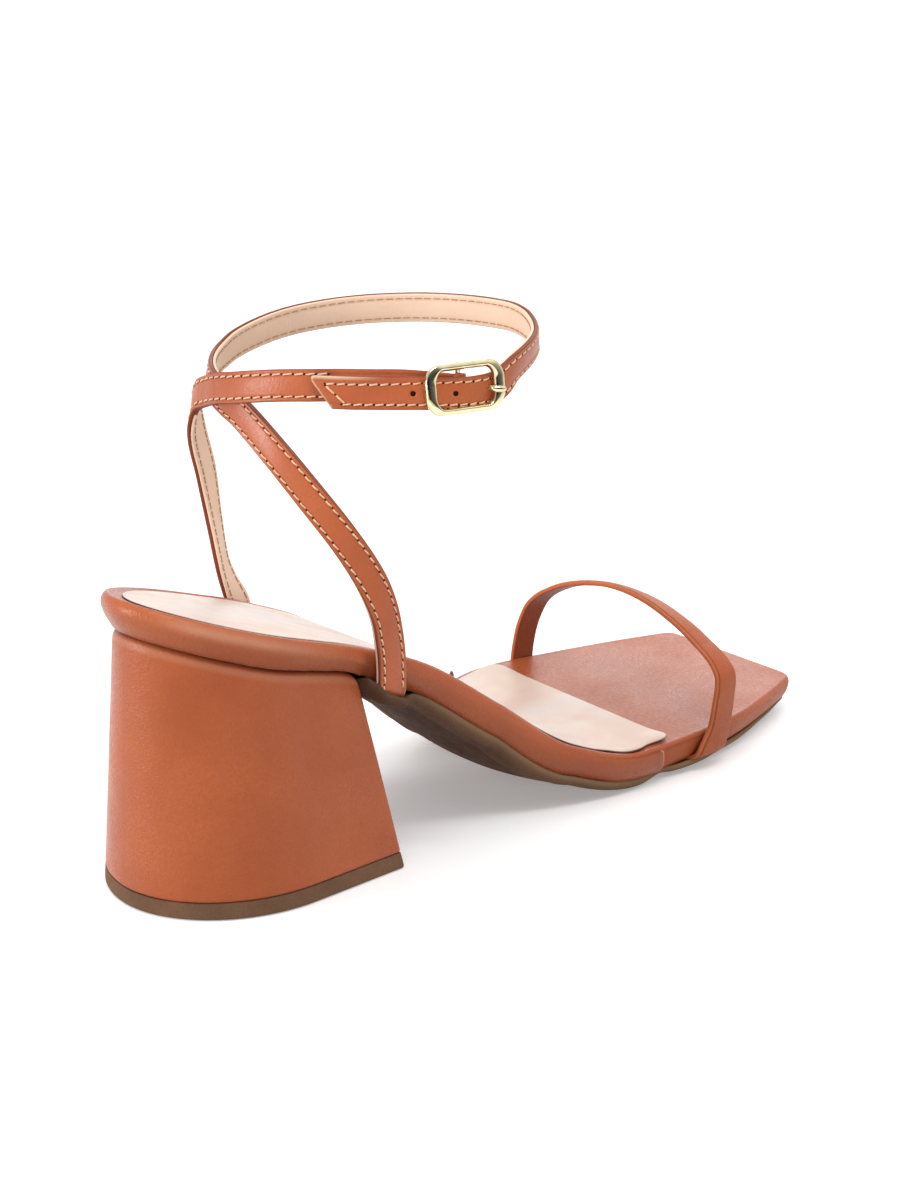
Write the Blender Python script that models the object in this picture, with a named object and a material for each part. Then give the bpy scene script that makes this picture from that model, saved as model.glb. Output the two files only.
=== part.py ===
"""Right-foot block-heel sandal: square toe, one toe band, crossed ankle straps with a side buckle.

Metres, +X toward the toe, +Y to the medial side, +Z up. Sizes below are in millimetres, measured from
the back of the footbed, and are scaled and centred at the end.
"""
import math

import bmesh
import bpy
import numpy as np

MM = 0.001
GAP = 0.3

# Footbed plan: a rounded heel, then one row per section
HEEL_RUN = 33.6
HEEL_HALF = 26.4
HEEL_MID = -0.25
HEEL_POWER = 1.85
SIDES = (
    # x, lateral y, medial y
    (33.6, -26.65, 26.15),
    (70.0, -27.2, 25.3),
    (105.0, -31.0, 28.2),
    (135.0, -36.2, 35.8),
    (162.0, -37.6, 41.6),
    (190.0, -36.0, 37.6),
    (213.0, -30.2, 33.0),
)
TOE_LATERAL = (232.2, -23.9)
TOE_MEDIAL = (236.0, 26.9)
TOE_CORNER = 4.5

# Footbed profile: height of the top surface and board thickness along the shoe
PROFILE = (
    # x, top z, thickness
    (0.0, 78.4, 8.0),
    (25.0, 70.0, 8.0),
    (50.0, 62.1, 8.0),
    (75.0, 51.9, 8.0),
    (100.0, 35.3, 8.0),
    (125.0, 18.1, 8.0),
    (150.0, 11.2, 8.0),
    (174.0, 11.2, 8.0),
    (205.0, 10.7, 7.1),
    (236.0, 10.2, 5.9),
)
EDGE_RINGS = (
    # inset from the outline, drop below the crest of the rim
    (3.2, 0.55),
    (1.7, 0.0),
    (0.55, 0.9),
    (0.0, 3.0),
)
FIELD_DROP = EDGE_RINGS[0][1]
UNDER_INSET = 2.6
UNDER_RINGS = (
    # share of the under inset, share of the board thickness
    (0.32, 0.68),
    (1.0, 1.0),
)
TOE_INSET = ((195.0, 1.0), (235.0, 0.5))  # share of the under inset that is left toward the toe

# Insock sheet
INSOCK_THICK = 0.6
INSOCK_INSET = ((60.0, 3.4), (130.0, 2.4))
INSOCK_FRONT = (162.0, 168.5)
INSOCK_CORNER = 4.0

# Outsole
OUTSOLE_THICK = ((56.0, 2.9), (190.0, 2.9), (236.0, 1.9))
OUTSOLE_START = 56.2
OUTSOLE_CROWN = ((56.0, 0.3), (75.0, 2.2), (98.0, 3.4), (118.0, 2.9), (142.0, 0.0))
TUCKS = (
    # x of a strap end, reach along the edge, swelling outward, swelling down
    (60.5, 6.0, 3.2, 1.0),
    (173.5, 5.0, 0.8, 0.0),
)
OUTSOLE_RINGS = (
    # inset from the footbed outline, share of the thickness
    (2.2, 0.0),
    (1.7, 0.3),
    (2.3, 0.75),
    (3.9, 1.0),
)

# Heel block and its top piece
TOP_PIECE = 4.3
HEEL_BASE_BACK = 1.2
HEEL_BASE_FRONT = 66.7
HEEL_BASE_LATERAL = 29.4
HEEL_BASE_MEDIAL = 31.0
HEEL_BASE_ROUND = 36.0
HEEL_SEAT_FRONT = 54.6
HEEL_CORNER = 1.2

# Toe band
TOE_BAND_WIDTH = 9.0
TOE_BAND_THICK = 2.1
TOE_BAND = (
    # x, y, z, then the facing of the outer side
    (177.0, -28.5, 4.2, -0.02, 0.0, -1.0),
    (177.0, -33.0, 4.2, -0.02, 0.0, -1.0),
    (177.0, -36.2, 4.4, 0.0, -0.25, -1.0),
    (177.0, -38.1, 5.7, 0.0, -0.8, -0.6),
    (177.1, -38.8, 8.6, 0.0, -1.0, -0.12),
    (177.2, -39.7, 15.0, 0.0, -1.0, -0.05),
    (177.2, -40.4, 22.0, 0.05, -1.0, 0.08),
    (177.3, -39.3, 28.1, 0.12, -0.9, 0.45),
    (177.4, -33.2, 33.8, 0.22, -0.65, 0.75),
    (177.5, -23.8, 38.5, 0.28, -0.4, 0.9),
    (177.9, -12.0, 42.0, 0.32, -0.2, 0.94),
    (178.4, 0.0, 42.9, 0.32, 0.02, 0.94),
    (179.0, 12.0, 41.2, 0.22, 0.25, 0.94),
    (179.5, 22.8, 37.6, 0.12, 0.45, 0.88),
    (180.0, 32.4, 31.3, 0.06, 0.7, 0.7),
    (180.4, 37.0, 23.6, 0.03, 0.93, 0.35),
    (180.7, 39.3, 15.6, 0.0, 1.0, 0.1),
    (180.8, 40.0, 8.8, 0.0, 1.0, -0.12),
    (180.8, 39.3, 5.7, 0.0, 0.8, -0.6),
    (180.8, 37.4, 4.4, 0.0, 0.25, -1.0),
    (180.8, 34.2, 4.2, -0.02, 0.0, -1.0),
    (180.8, 29.7, 4.2, -0.02, 0.0, -1.0),
)
TOE_BAND_STEP = 1.75

# Ankle straps: two legs and an oval loop they share
STRAP_WIDTH = 7.6
STRAP_THICK = 2.0
STRAP_STEP = 1.6
TUCK_STATIONS = 16
LATERAL_LEG = (
    # x, y, z, then the facing of the outer side
    (61.7, -18.0, 48.0, -0.37, 0.0, -0.93),
    (61.7, -22.5, 48.0, -0.37, 0.0, -0.93),
    (61.7, -25.7, 48.0, -0.35, -0.1, -0.93),
    (61.7, -27.8, 48.9, -0.22, -0.7, -0.68),
    (61.7, -28.6, 51.0, -0.05, -1.0, -0.05),
    (61.5, -28.8, 56.0, 0.0, -1.0, 0.0),
    (60.6, -28.8, 62.0, 0.0, -1.0, 0.0),
    (58.6, -28.7, 69.8, -0.05, -1.0, 0.0),
    (55.0, -27.6, 78.1, -0.3, -0.95, 0.0),
    (49.7, -24.5, 88.1, -0.6, -0.8, 0.0),
    (44.3, -18.1, 98.6, -0.83, -0.55, 0.05),
    (40.7, -9.6, 108.0, -0.95, -0.3, 0.1),
)
MEDIAL_LEG = (
    (59.5, 16.5, 48.5, -0.36, 0.0, -0.93),
    (59.5, 21.0, 48.5, -0.36, 0.0, -0.93),
    (59.5, 24.2, 48.5, -0.34, 0.1, -0.93),
    (59.5, 26.3, 49.4, -0.22, 0.7, -0.68),
    (59.4, 27.1, 51.5, -0.05, 1.0, -0.05),
    (58.9, 27.4, 57.0, -0.1, 0.99, 0.0),
    (57.4, 27.9, 63.0, -0.32, 0.95, 0.0),
    (55.4, 28.2, 69.0, -0.52, 0.85, 0.0),
    (51.5, 28.0, 81.0, -0.62, 0.78, 0.0),
    (46.7, 26.6, 95.0, -0.62, 0.78, 0.0),
    (42.2, 24.4, 107.5, -0.68, 0.73, 0.05),
)
LOOP_CENTRE = (75.0, -4.7)
LOOP_HALF = (40.3, 33.0)
LOOP_TURN = -45.5
LATERAL_LOOP = (
    # angle, height, offset outward from the oval, lean of the outer side
    (222.0, 115.8, -1.0, 8.0),
    (210.0, 118.4, -0.9, 8.0),
    (195.0, 120.4, -1.0, 8.0),
    (180.0, 121.7, -1.2, 8.0),
    (165.0, 123.0, -0.9, 8.0),
    (150.0, 125.2, -0.3, 8.0),
    (120.0, 129.4, 0.0, 8.0),
    (90.0, 131.8, 0.0, 8.0),
    (60.0, 133.0, 0.0, 8.0),
    (30.0, 133.4, 0.0, 8.0),
    (10.0, 132.3, 0.0, 8.0),
    (-4.0, 131.2, 0.2, 2.0),
    (-17.0, 130.0, 0.5, -9.0),
    (-30.0, 128.4, 1.2, -11.0),
    (-43.0, 126.2, 2.3, 3.0),
    (-56.0, 125.3, 3.5, 8.0),
    (-69.0, 125.2, 2.5, 8.0),
    (-84.0, 125.2, 2.4, 8.0),
    (-104.0, 125.1, 2.4, 8.0),
)
MEDIAL_LOOP = (
    (190.0, 116.0, 2.4, 8.0),
    (200.0, 119.0, 1.0, 8.0),
    (210.0, 120.9, 0.6, 8.0),
    (225.0, 122.8, 0.6, 8.0),
    (240.0, 124.6, 0.3, 8.0),
    (270.0, 125.6, 0.0, 8.0),
    (290.0, 125.5, 0.0, 8.0),
    (304.0, 125.2, -0.3, 8.0),
)
TIP_SLANT = 0.62

# Buckle, set on the strap's path at one angle of the loop
BUCKLE_ANGLE = -56.0
BUCKLE_HEIGHT = 125.2
BUCKLE_LEAN = 8.0
BUCKLE_RISE = -0.15
FRAME_HALF_LONG = 9.3
FRAME_HALF_WIDE = 5.3
FRAME_CORNER = 3.4
FRAME_LEVEL = 4.1
WIRE_HALF_WIDE = 0.75
WIRE_HALF_THICK = 1.0
BAR_RADIUS = 0.9
BAR_LEVEL = -0.4
FOLD_RADIUS = 2.1
PRONG_RADIUS = 0.55
PRONG_RING = BAR_RADIUS + GAP + PRONG_RADIUS
PRONG_PATH = (
    # along the strap, level
    (1.9, 0.2),
    (3.6, 0.7),
    (5.3, 2.4),
    (6.8, 4.9),
    (8.7, 6.0),
    (10.5, 5.95),
)
PIN_HOLE = (5.4, 1.7, 0.9, 5.0)  # centre along the strap, half length, lower and upper level

# Facets
HEEL_FIRST = 6.0  # angle of the first point from the heel's centre line
HEEL_STEPS = 12
SIDE_STEPS = 22
CORNER_STEPS = 4
CROWN_COLUMNS = 6


def unit(v):
    v = np.asarray(v, float)
    return v / np.linalg.norm(v)


def level_curve(rows, column):
    """Monotone curve through a table: stays level between equal rows."""
    x = np.array([r[0] for r in rows])
    y = np.array([r[column] for r in rows])
    h = np.diff(x)
    s = np.diff(y) / h
    m = np.zeros(len(x))
    m[0], m[-1] = s[0], s[-1]
    for i in range(1, len(x) - 1):
        if s[i - 1] * s[i] > 0:
            w0, w1 = 2 * h[i] + h[i - 1], h[i] + 2 * h[i - 1]
            m[i] = (w0 + w1) / (w0 / s[i - 1] + w1 / s[i])

    def at(q):
        q = min(max(q, x[0]), x[-1])
        i = int(np.clip(np.searchsorted(x, q) - 1, 0, len(h) - 1))
        t = (q - x[i]) / h[i]
        a = (1 + 2 * t) * (1 - t) ** 2 * y[i] + t * (1 - t) ** 2 * h[i] * m[i]
        return a + t * t * (3 - 2 * t) * y[i + 1] + t * t * (t - 1) * h[i] * m[i + 1]
    return at


def flow(rows, step):
    """Even stations on a smooth curve through rows, spaced by the first three columns."""
    p = np.array(rows, float)
    d = np.linalg.norm(np.diff(p[:, :3], axis=0), axis=1)
    s = np.concatenate([[0.0], np.cumsum(d)])
    m = np.empty_like(p)
    m[1:-1] = (p[2:] - p[:-2]) / (s[2:] - s[:-2])[:, None]
    m[0] = (p[1] - p[0]) / d[0]
    m[-1] = (p[-1] - p[-2]) / d[-1]
    out = []
    for q in np.linspace(0.0, s[-1], max(2, int(round(s[-1] / step))) + 1):
        i = int(np.clip(np.searchsorted(s, q) - 1, 0, len(d) - 1))
        h = s[i + 1] - s[i]
        t = (q - s[i]) / h
        a = (1 + 2 * t) * (1 - t) ** 2 * p[i] + t * (1 - t) ** 2 * h * m[i]
        out.append(a + t * t * (3 - 2 * t) * p[i + 1] + t * t * (t - 1) * h * m[i + 1])
    return np.array(out)


top_height = level_curve(PROFILE, 1)
board_thick = level_curve(PROFILE, 2)
toe_share = level_curve(TOE_INSET, 1)
HEEL_TURN = [math.radians(HEEL_FIRST + (90.0 - HEEL_FIRST) * k / HEEL_STEPS) for k in range(HEEL_STEPS)]


def steepness(x):
    slope = top_height(x + 0.5) - top_height(x - 0.5)
    return math.sqrt(1.0 + slope * slope)


def side_line(side):
    """Plan points of one side of the footbed, heel centre to the start of the toe corner."""
    column = 1 if side < 0 else 2
    corner = TOE_LATERAL if side < 0 else TOE_MEDIAL
    points = []
    for t in HEEL_TURN:
        x = HEEL_RUN * (1 - math.cos(t) ** (2 / HEEL_POWER))
        points.append((x, HEEL_MID + side * HEEL_HALF * math.sin(t) ** (2 / HEEL_POWER)))
    rows = [(r[0], r[column], 0.0) for r in SIDES] + [(corner[0], corner[1], 0.0)]
    fine = flow(rows, 0.5)
    stop = corner[0] - TOE_CORNER
    for x in np.linspace(HEEL_RUN, stop, SIDE_STEPS):
        points.append((x, float(np.interp(x, fine[:, 0], fine[:, 1]))))
    return points


def corner_line(start, corner, far, trim):
    """Rounded corner from start by the corner to a point trim along the front edge."""
    a, c = np.array(start), np.array(corner)
    b = c + unit(np.array(far) - c) * trim
    steps = [k / CORNER_STEPS for k in range(1, CORNER_STEPS + 1)]
    return [tuple((1 - t) ** 2 * a + 2 * t * (1 - t) * c + t * t * b) for t in steps]


def inward(lateral, medial, inset):
    """Both side lines moved in; inset is a length or a function of x."""
    loop = np.array(lateral + medial[::-1])
    ahead = np.roll(loop, -1, axis=0) - np.roll(loop, 1, axis=0)
    normal = np.stack([-ahead[:, 1], ahead[:, 0]], axis=1)
    normal /= np.linalg.norm(normal, axis=1)[:, None]
    amount = np.array([inset(p[0]) if callable(inset) else inset for p in loop])
    moved = loop + normal * amount[:, None]
    n = len(lateral)
    return moved[:n], moved[n:][::-1]


def tuck_swell(x, column):
    """How far the outsole edge swells round the tucked strap ends, outward or down."""
    return sum(t[column] * math.exp(-((x - t[0]) / t[1]) ** 2) for t in TUCKS)


LATERAL = side_line(-1)
MEDIAL = side_line(1)
LATERAL += corner_line(LATERAL[-1], TOE_LATERAL, TOE_MEDIAL, TOE_CORNER)
MEDIAL += corner_line(MEDIAL[-1], TOE_MEDIAL, TOE_LATERAL, TOE_CORNER)


def on_board(line, drop, share=0.0):
    """Plan points below the footbed top by a length or a function of x, plus a share of the board."""
    out = []
    for x, y in line:
        d = (drop(x) if callable(drop) else drop) + share * board_thick(x)
        out.append((x, y, top_height(x) - d * steepness(x)))
    return np.array(out)


def trimmed(line, x0, x1):
    """Part of a side line between two x, with its end points set on them."""
    line = np.array(line)
    order = np.argsort(line[:, 0])
    keep = line[(line[:, 0] > x0 + 0.6) & (line[:, 0] < x1 - 0.6)]
    ends = [(x, float(np.interp(x, line[order, 0], line[order, 1]))) for x in (x0, x1)]
    head = [ends[0]] if x0 > line[0, 0] else [tuple(line[0])]
    return head + [tuple(p) for p in keep if p[0] > head[0][0]] + [ends[1]]


def paint(name, colour, rough, metal=0.0):
    mat = bpy.data.materials.new(name)
    mat.use_nodes = True
    shader = mat.node_tree.nodes["Principled BSDF"]
    shader.inputs["Base Color"].default_value = (*colour, 1.0)
    shader.inputs["Roughness"].default_value = rough
    shader.inputs["Metallic"].default_value = metal
    return mat


def solid(name, verts, faces, mat=None):
    """Closed mesh object with outward faces."""
    mesh = bpy.data.meshes.new(name)
    mesh.from_pydata([tuple(float(c) for c in v) for v in verts], [], faces)
    bm = bmesh.new()
    bm.from_mesh(mesh)
    bmesh.ops.remove_doubles(bm, verts=bm.verts, dist=1e-5)
    bmesh.ops.recalc_face_normals(bm, faces=bm.faces)
    bm.to_mesh(mesh)
    bm.free()
    obj = bpy.data.objects.new(name, mesh)
    bpy.context.scene.collection.objects.link(obj)
    if mat:
        mesh.materials.append(mat)
    return obj


def plate(name, rings, mat, crown=None):
    """Body from stacked rings; each ring is a lateral and a medial line of equal length.

    A crown moves the middle of the last face up or down by a function of x.
    """
    n = len(rings[0][0])
    loop = 2 * n
    verts = []
    for lateral, medial in rings:
        verts += list(lateral) + list(medial[::-1])
    last = len(verts) - loop
    columns = [[last + i for i in range(n)]]
    for k in range(1, CROWN_COLUMNS if crown else 1):
        t = k / CROWN_COLUMNS
        columns.append(list(range(len(verts), len(verts) + n)))
        for a, b in zip(*rings[-1]):
            p = a * (1 - t) + b * t
            verts.append((p[0], p[1], p[2] + crown(p[0]) * 4 * t * (1 - t)))
    columns.append([last + loop - 1 - i for i in range(n)])
    faces = [(i, i + 1, loop - 2 - i, loop - 1 - i) for i in range(n - 1)]
    for left, right in zip(columns[:-1], columns[1:]):
        for i in range(n - 1):
            faces.append((left[i], left[i + 1], right[i + 1], right[i]))
    between = {n - 1: [c[-1] for c in columns[-2:0:-1]], loop - 1: [c[0] for c in columns[1:-1]]}
    for base in range(0, last, loop):
        for i in range(loop):
            j = (i + 1) % loop
            extra = between.get(i, []) if base + loop == last else []
            faces.append((base + i, base + j, base + loop + j, *extra, base + loop + i))
    return solid(name, verts, faces, mat)


def band_profile(width, thick):
    c = 0.22 * thick
    w, t = width / 2, thick / 2
    right = ((w - c, t), (w, t - c), (w, c - t), (w - c, -t))
    return right + tuple((-across, -outward) for across, outward in right)


def frames(stations, closed=False):
    """Along, outward and across directions at each station of a path."""
    p = stations[:, :3]
    if closed:
        along = np.roll(p, -1, axis=0) - np.roll(p, 1, axis=0)
    else:
        along = np.gradient(p, axis=0)
    along /= np.linalg.norm(along, axis=1)[:, None]
    out = stations[:, 3:6] - along * np.sum(stations[:, 3:6] * along, axis=1)[:, None]
    out /= np.linalg.norm(out, axis=1)[:, None]
    return along, out, np.cross(along, out)


def sweep(name, stations, profile, mat=None, slant=0.0, closed=False, extend=0.0):
    """Profile of (across, outward) points carried along stations; slant shears the last section."""
    along, out, across = frames(stations, closed)
    p = stations[:, :3].copy()
    p[0] -= along[0] * extend
    p[-1] += along[-1] * extend
    n, m = len(stations), len(profile)
    verts = []
    for i in range(n):
        shear = slant if i == n - 1 else 0.5 * slant if i == n - 2 else 0.0
        for a, o in profile:
            verts.append(p[i] + across[i] * a + out[i] * o + along[i] * shear * a)
    faces = []
    for i in range(n if closed else n - 1):
        j = (i + 1) % n
        for k in range(m):
            q = (k + 1) % m
            faces.append((i * m + k, i * m + q, j * m + q, j * m + k))
    if not closed:
        faces.append(tuple(range(m)))
        faces.append(tuple(range((n - 1) * m, n * m)))
    return solid(name, verts, faces, mat)


def round_profile(across, outward=None, sides=8):
    turn = [math.pi * (2 * k + 1) / sides for k in range(sides)]
    outward = outward or across
    return tuple((across * math.cos(a), outward * math.sin(a)) for a in turn)


def combine(target, tool, operation):
    """Join or cut by a tool body, which is used up."""
    mod = target.modifiers.new(operation.lower(), "BOOLEAN")
    mod.operation = operation
    mod.solver = "EXACT"
    mod.object = tool
    bpy.context.view_layer.update()
    depsgraph = bpy.context.evaluated_depsgraph_get()
    mesh = bpy.data.meshes.new_from_object(target.evaluated_get(depsgraph))
    target.modifiers.remove(mod)
    old = target.data
    mesh.name = old.name
    target.data = mesh
    bpy.data.meshes.remove(old)
    bpy.data.objects.remove(tool)


def loop_point(angle, height, offset, lean):
    """Station on the oval ankle loop, facing outward and leaning."""
    a = math.radians(angle)
    r = math.radians(LOOP_TURN)
    lean = math.radians(lean)
    n = unit((math.cos(a) / LOOP_HALF[0], math.sin(a) / LOOP_HALF[1]))
    u = LOOP_HALF[0] * math.cos(a) + offset * n[0]
    v = LOOP_HALF[1] * math.sin(a) + offset * n[1]
    x = LOOP_CENTRE[0] + u * math.cos(r) - v * math.sin(r)
    y = LOOP_CENTRE[1] + u * math.sin(r) + v * math.cos(r)
    nx = n[0] * math.cos(r) - n[1] * math.sin(r)
    ny = n[0] * math.sin(r) + n[1] * math.cos(r)
    return (x, y, height, nx * math.cos(lean), ny * math.cos(lean), math.sin(lean))


def loop_rows(table, step=10.0):
    """Stations on the loop from a table of angle, height, offset and lean."""
    start, stop = table[0][0], table[-1][0]
    curves = [level_curve(sorted(table), column) for column in (1, 2, 3)]
    count = max(2, int(round(abs(stop - start) / step)))
    return [loop_point(a, *(c(a) for c in curves)) for a in np.linspace(start, stop, count + 1)]


def thinned(stations, head, tail=1):
    """Every station near the ends of a path, every second one between."""
    return np.concatenate([stations[:head], stations[head:-tail:2], stations[-tail:]])


def make_footbed(mat):
    rings = []
    for inset, drop in EDGE_RINGS:
        lateral, medial = inward(LATERAL, MEDIAL, inset)
        rings.append((on_board(lateral, drop), on_board(medial, drop)))
    for part_inset, share in UNDER_RINGS:
        lateral, medial = inward(LATERAL, MEDIAL, lambda x: part_inset * UNDER_INSET * toe_share(x))
        rings.append((on_board(lateral, 0.0, share), on_board(medial, 0.0, share)))
    return plate("footbed", rings, mat)


def make_insock(mat):
    lateral, medial = inward(LATERAL, MEDIAL, level_curve(INSOCK_INSET, 1))
    lx, mx = INSOCK_FRONT
    lateral = trimmed(lateral[:HEEL_STEPS + SIDE_STEPS], 0.0, lx - INSOCK_CORNER)
    medial = trimmed(medial[:HEEL_STEPS + SIDE_STEPS], 0.0, mx - INSOCK_CORNER)
    n = min(len(lateral), len(medial))
    lateral = lateral[:n - 1] + lateral[-1:]
    medial = medial[:n - 1] + medial[-1:]
    l_corner, m_corner = (lx, lateral[-1][1]), (mx, medial[-1][1])
    lateral += corner_line(lateral[-1], l_corner, m_corner, INSOCK_CORNER)
    medial += corner_line(medial[-1], m_corner, l_corner, INSOCK_CORNER)
    levels = (GAP - FIELD_DROP, GAP + INSOCK_THICK - FIELD_DROP)
    rings = [(on_board(lateral, -d), on_board(medial, -d)) for d in levels]
    return plate("insock", rings, mat)


def make_outsole(mat):
    thick = level_curve(OUTSOLE_THICK, 1)
    rings = []
    for inset, share in OUTSOLE_RINGS:
        lateral, medial = inward(LATERAL, MEDIAL, lambda x: inset * toe_share(x) - tuck_swell(x, 2))
        first = next(i for i, p in enumerate(lateral) if p[0] > OUTSOLE_START + 2.0)
        both = []
        for line in (lateral, medial):
            y = float(np.interp(OUTSOLE_START, line[first - 1:first + 1, 0], line[first - 1:first + 1, 1]))
            kept = [(OUTSOLE_START, y)] + [tuple(p) for p in line[first:]]
            both.append(on_board(kept, lambda x: GAP + share * (thick(x) + tuck_swell(x, 3)), 1.0))
        rings.append(tuple(both))
    crown = level_curve(OUTSOLE_CROWN, 1)
    return plate("outsole", rings, mat, lambda x: -crown(x))


def heel_rings():
    """Matching base and seat lines of the heel block, lateral side then medial side, back to front."""
    lateral, medial = inward(LATERAL, MEDIAL, UNDER_INSET)
    pairs = []
    for side, line, half in ((-1, lateral, HEEL_BASE_LATERAL), (1, medial, HEEL_BASE_MEDIAL)):
        base, seat = [], []
        for k, t in enumerate(HEEL_TURN):
            base.append((HEEL_BASE_BACK + HEEL_BASE_ROUND * (1 - math.cos(t)), side * half * math.sin(t)))
            seat.append(tuple(line[k]))
        for f in (0.0, 0.5, 1.0):
            front = HEEL_BASE_FRONT - HEEL_CORNER
            back = HEEL_BASE_BACK + HEEL_BASE_ROUND
            base.append((back + f * (front - back), side * half))
            x = HEEL_RUN + f * (HEEL_SEAT_FRONT - HEEL_CORNER - HEEL_RUN)
            seat.append((x, float(np.interp(x, line[:, 0], line[:, 1]))))
        b_corner, s_corner = (HEEL_BASE_FRONT, side * half), (HEEL_SEAT_FRONT, seat[-1][1])
        base += corner_line(base[-1], b_corner, (HEEL_BASE_FRONT, 0.0), HEEL_CORNER)
        seat += corner_line(seat[-1], s_corner, (HEEL_SEAT_FRONT, 0.0), HEEL_CORNER)
        foot = np.array([(x, y, 0.0) for x, y in base])
        pairs.append((foot, on_board(seat, GAP, 1.0)))
    return pairs


def heel_level(pairs, z=None):
    """Ring of the heel at one height, or at its seat."""
    out = []
    for base, seat in pairs:
        if z is None:
            out.append(seat)
        else:
            share = (z / seat[:, 2])[:, None]
            out.append(base * (1 - share) + seat * share)
    return tuple(out)


def make_buckle(mat):
    """Frame with its sunk centre bar, and the prong, both around the bar's place on the strap."""
    x, y, z, *facing = loop_point(BUCKLE_ANGLE, BUCKLE_HEIGHT, 0.0, BUCKLE_LEAN)
    ahead = np.array(loop_point(BUCKLE_ANGLE + 4.0, BUCKLE_HEIGHT + BUCKLE_RISE, 0.0, BUCKLE_LEAN)[:3])
    behind = np.array(loop_point(BUCKLE_ANGLE - 4.0, BUCKLE_HEIGHT, 0.0, BUCKLE_LEAN)[:3])
    out = unit(facing)
    along = ahead - behind
    along = unit(along - out * np.dot(along, out))
    across = np.cross(along, out)
    origin = np.array((x, y, z))

    def place(a, c, o):
        return origin + along * a + across * c + out * o

    ring = []
    for sa, sc, turn in ((1, 1, 0), (-1, 1, 90), (-1, -1, 180), (1, -1, 270)):
        for k in range(5):
            t = math.radians(turn + 22.5 * k)
            a = sa * (FRAME_HALF_LONG - FRAME_CORNER) + FRAME_CORNER * math.cos(t)
            c = sc * (FRAME_HALF_WIDE - FRAME_CORNER) + FRAME_CORNER * math.sin(t)
            ring.append((*place(a, c, FRAME_LEVEL), *out))
    wire = round_profile(WIRE_HALF_WIDE, WIRE_HALF_THICK)
    frame = sweep("buckle_frame", np.array(ring), wire, mat, closed=True)
    sunk = ((FRAME_HALF_WIDE, FRAME_LEVEL), (FRAME_HALF_WIDE, 1.6), (5.3, 0.2), (4.6, BAR_LEVEL))
    bar = [(*place(0.0, c, o), *along) for c, o in sunk]
    bar += [(*place(0.0, -c, o), *along) for c, o in sunk[::-1]]
    combine(frame, sweep("bar", np.array(bar), round_profile(BAR_RADIUS)), "UNION")

    eye = []
    for k in range(16):
        t = 2 * math.pi * k / 16
        eye.append((*place(PRONG_RING * math.cos(t), 0.0, BAR_LEVEL + PRONG_RING * math.sin(t)), *across))
    shaft = [(*place(a, 0.0, o), *across) for a, o in PRONG_PATH]

    prong = sweep("buckle_prong", np.array(eye), round_profile(PRONG_RADIUS), mat, closed=True)
    combine(prong, sweep("pin", flow(shaft, 0.9), round_profile(PRONG_RADIUS)), "UNION")

    def roller(name, half, radius):
        ends = [(*place(0.0, c, BAR_LEVEL), *out) for c in (-half, half)]
        return sweep(name, np.array(ends), round_profile(radius, sides=12))

    slot = PRONG_RADIUS + GAP
    hole = np.array([(*place(PIN_HOLE[0], 0.0, o), *along) for o in (PIN_HOLE[2], PIN_HOLE[3])])
    long = PIN_HOLE[1]
    square = ((slot, long), (slot, -long), (-slot, -long), (-slot, long))
    tools = (
        (roller("fold", STRAP_WIDTH / 2, FOLD_RADIUS), "UNION"),
        (roller("bar_room", STRAP_WIDTH, BAR_RADIUS + GAP), "DIFFERENCE"),
        (roller("ring_room", slot, PRONG_RING + slot), "DIFFERENCE"),
        (sweep("pin_room", hole, square), "DIFFERENCE"),
    )
    return frame, prong, tools


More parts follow.
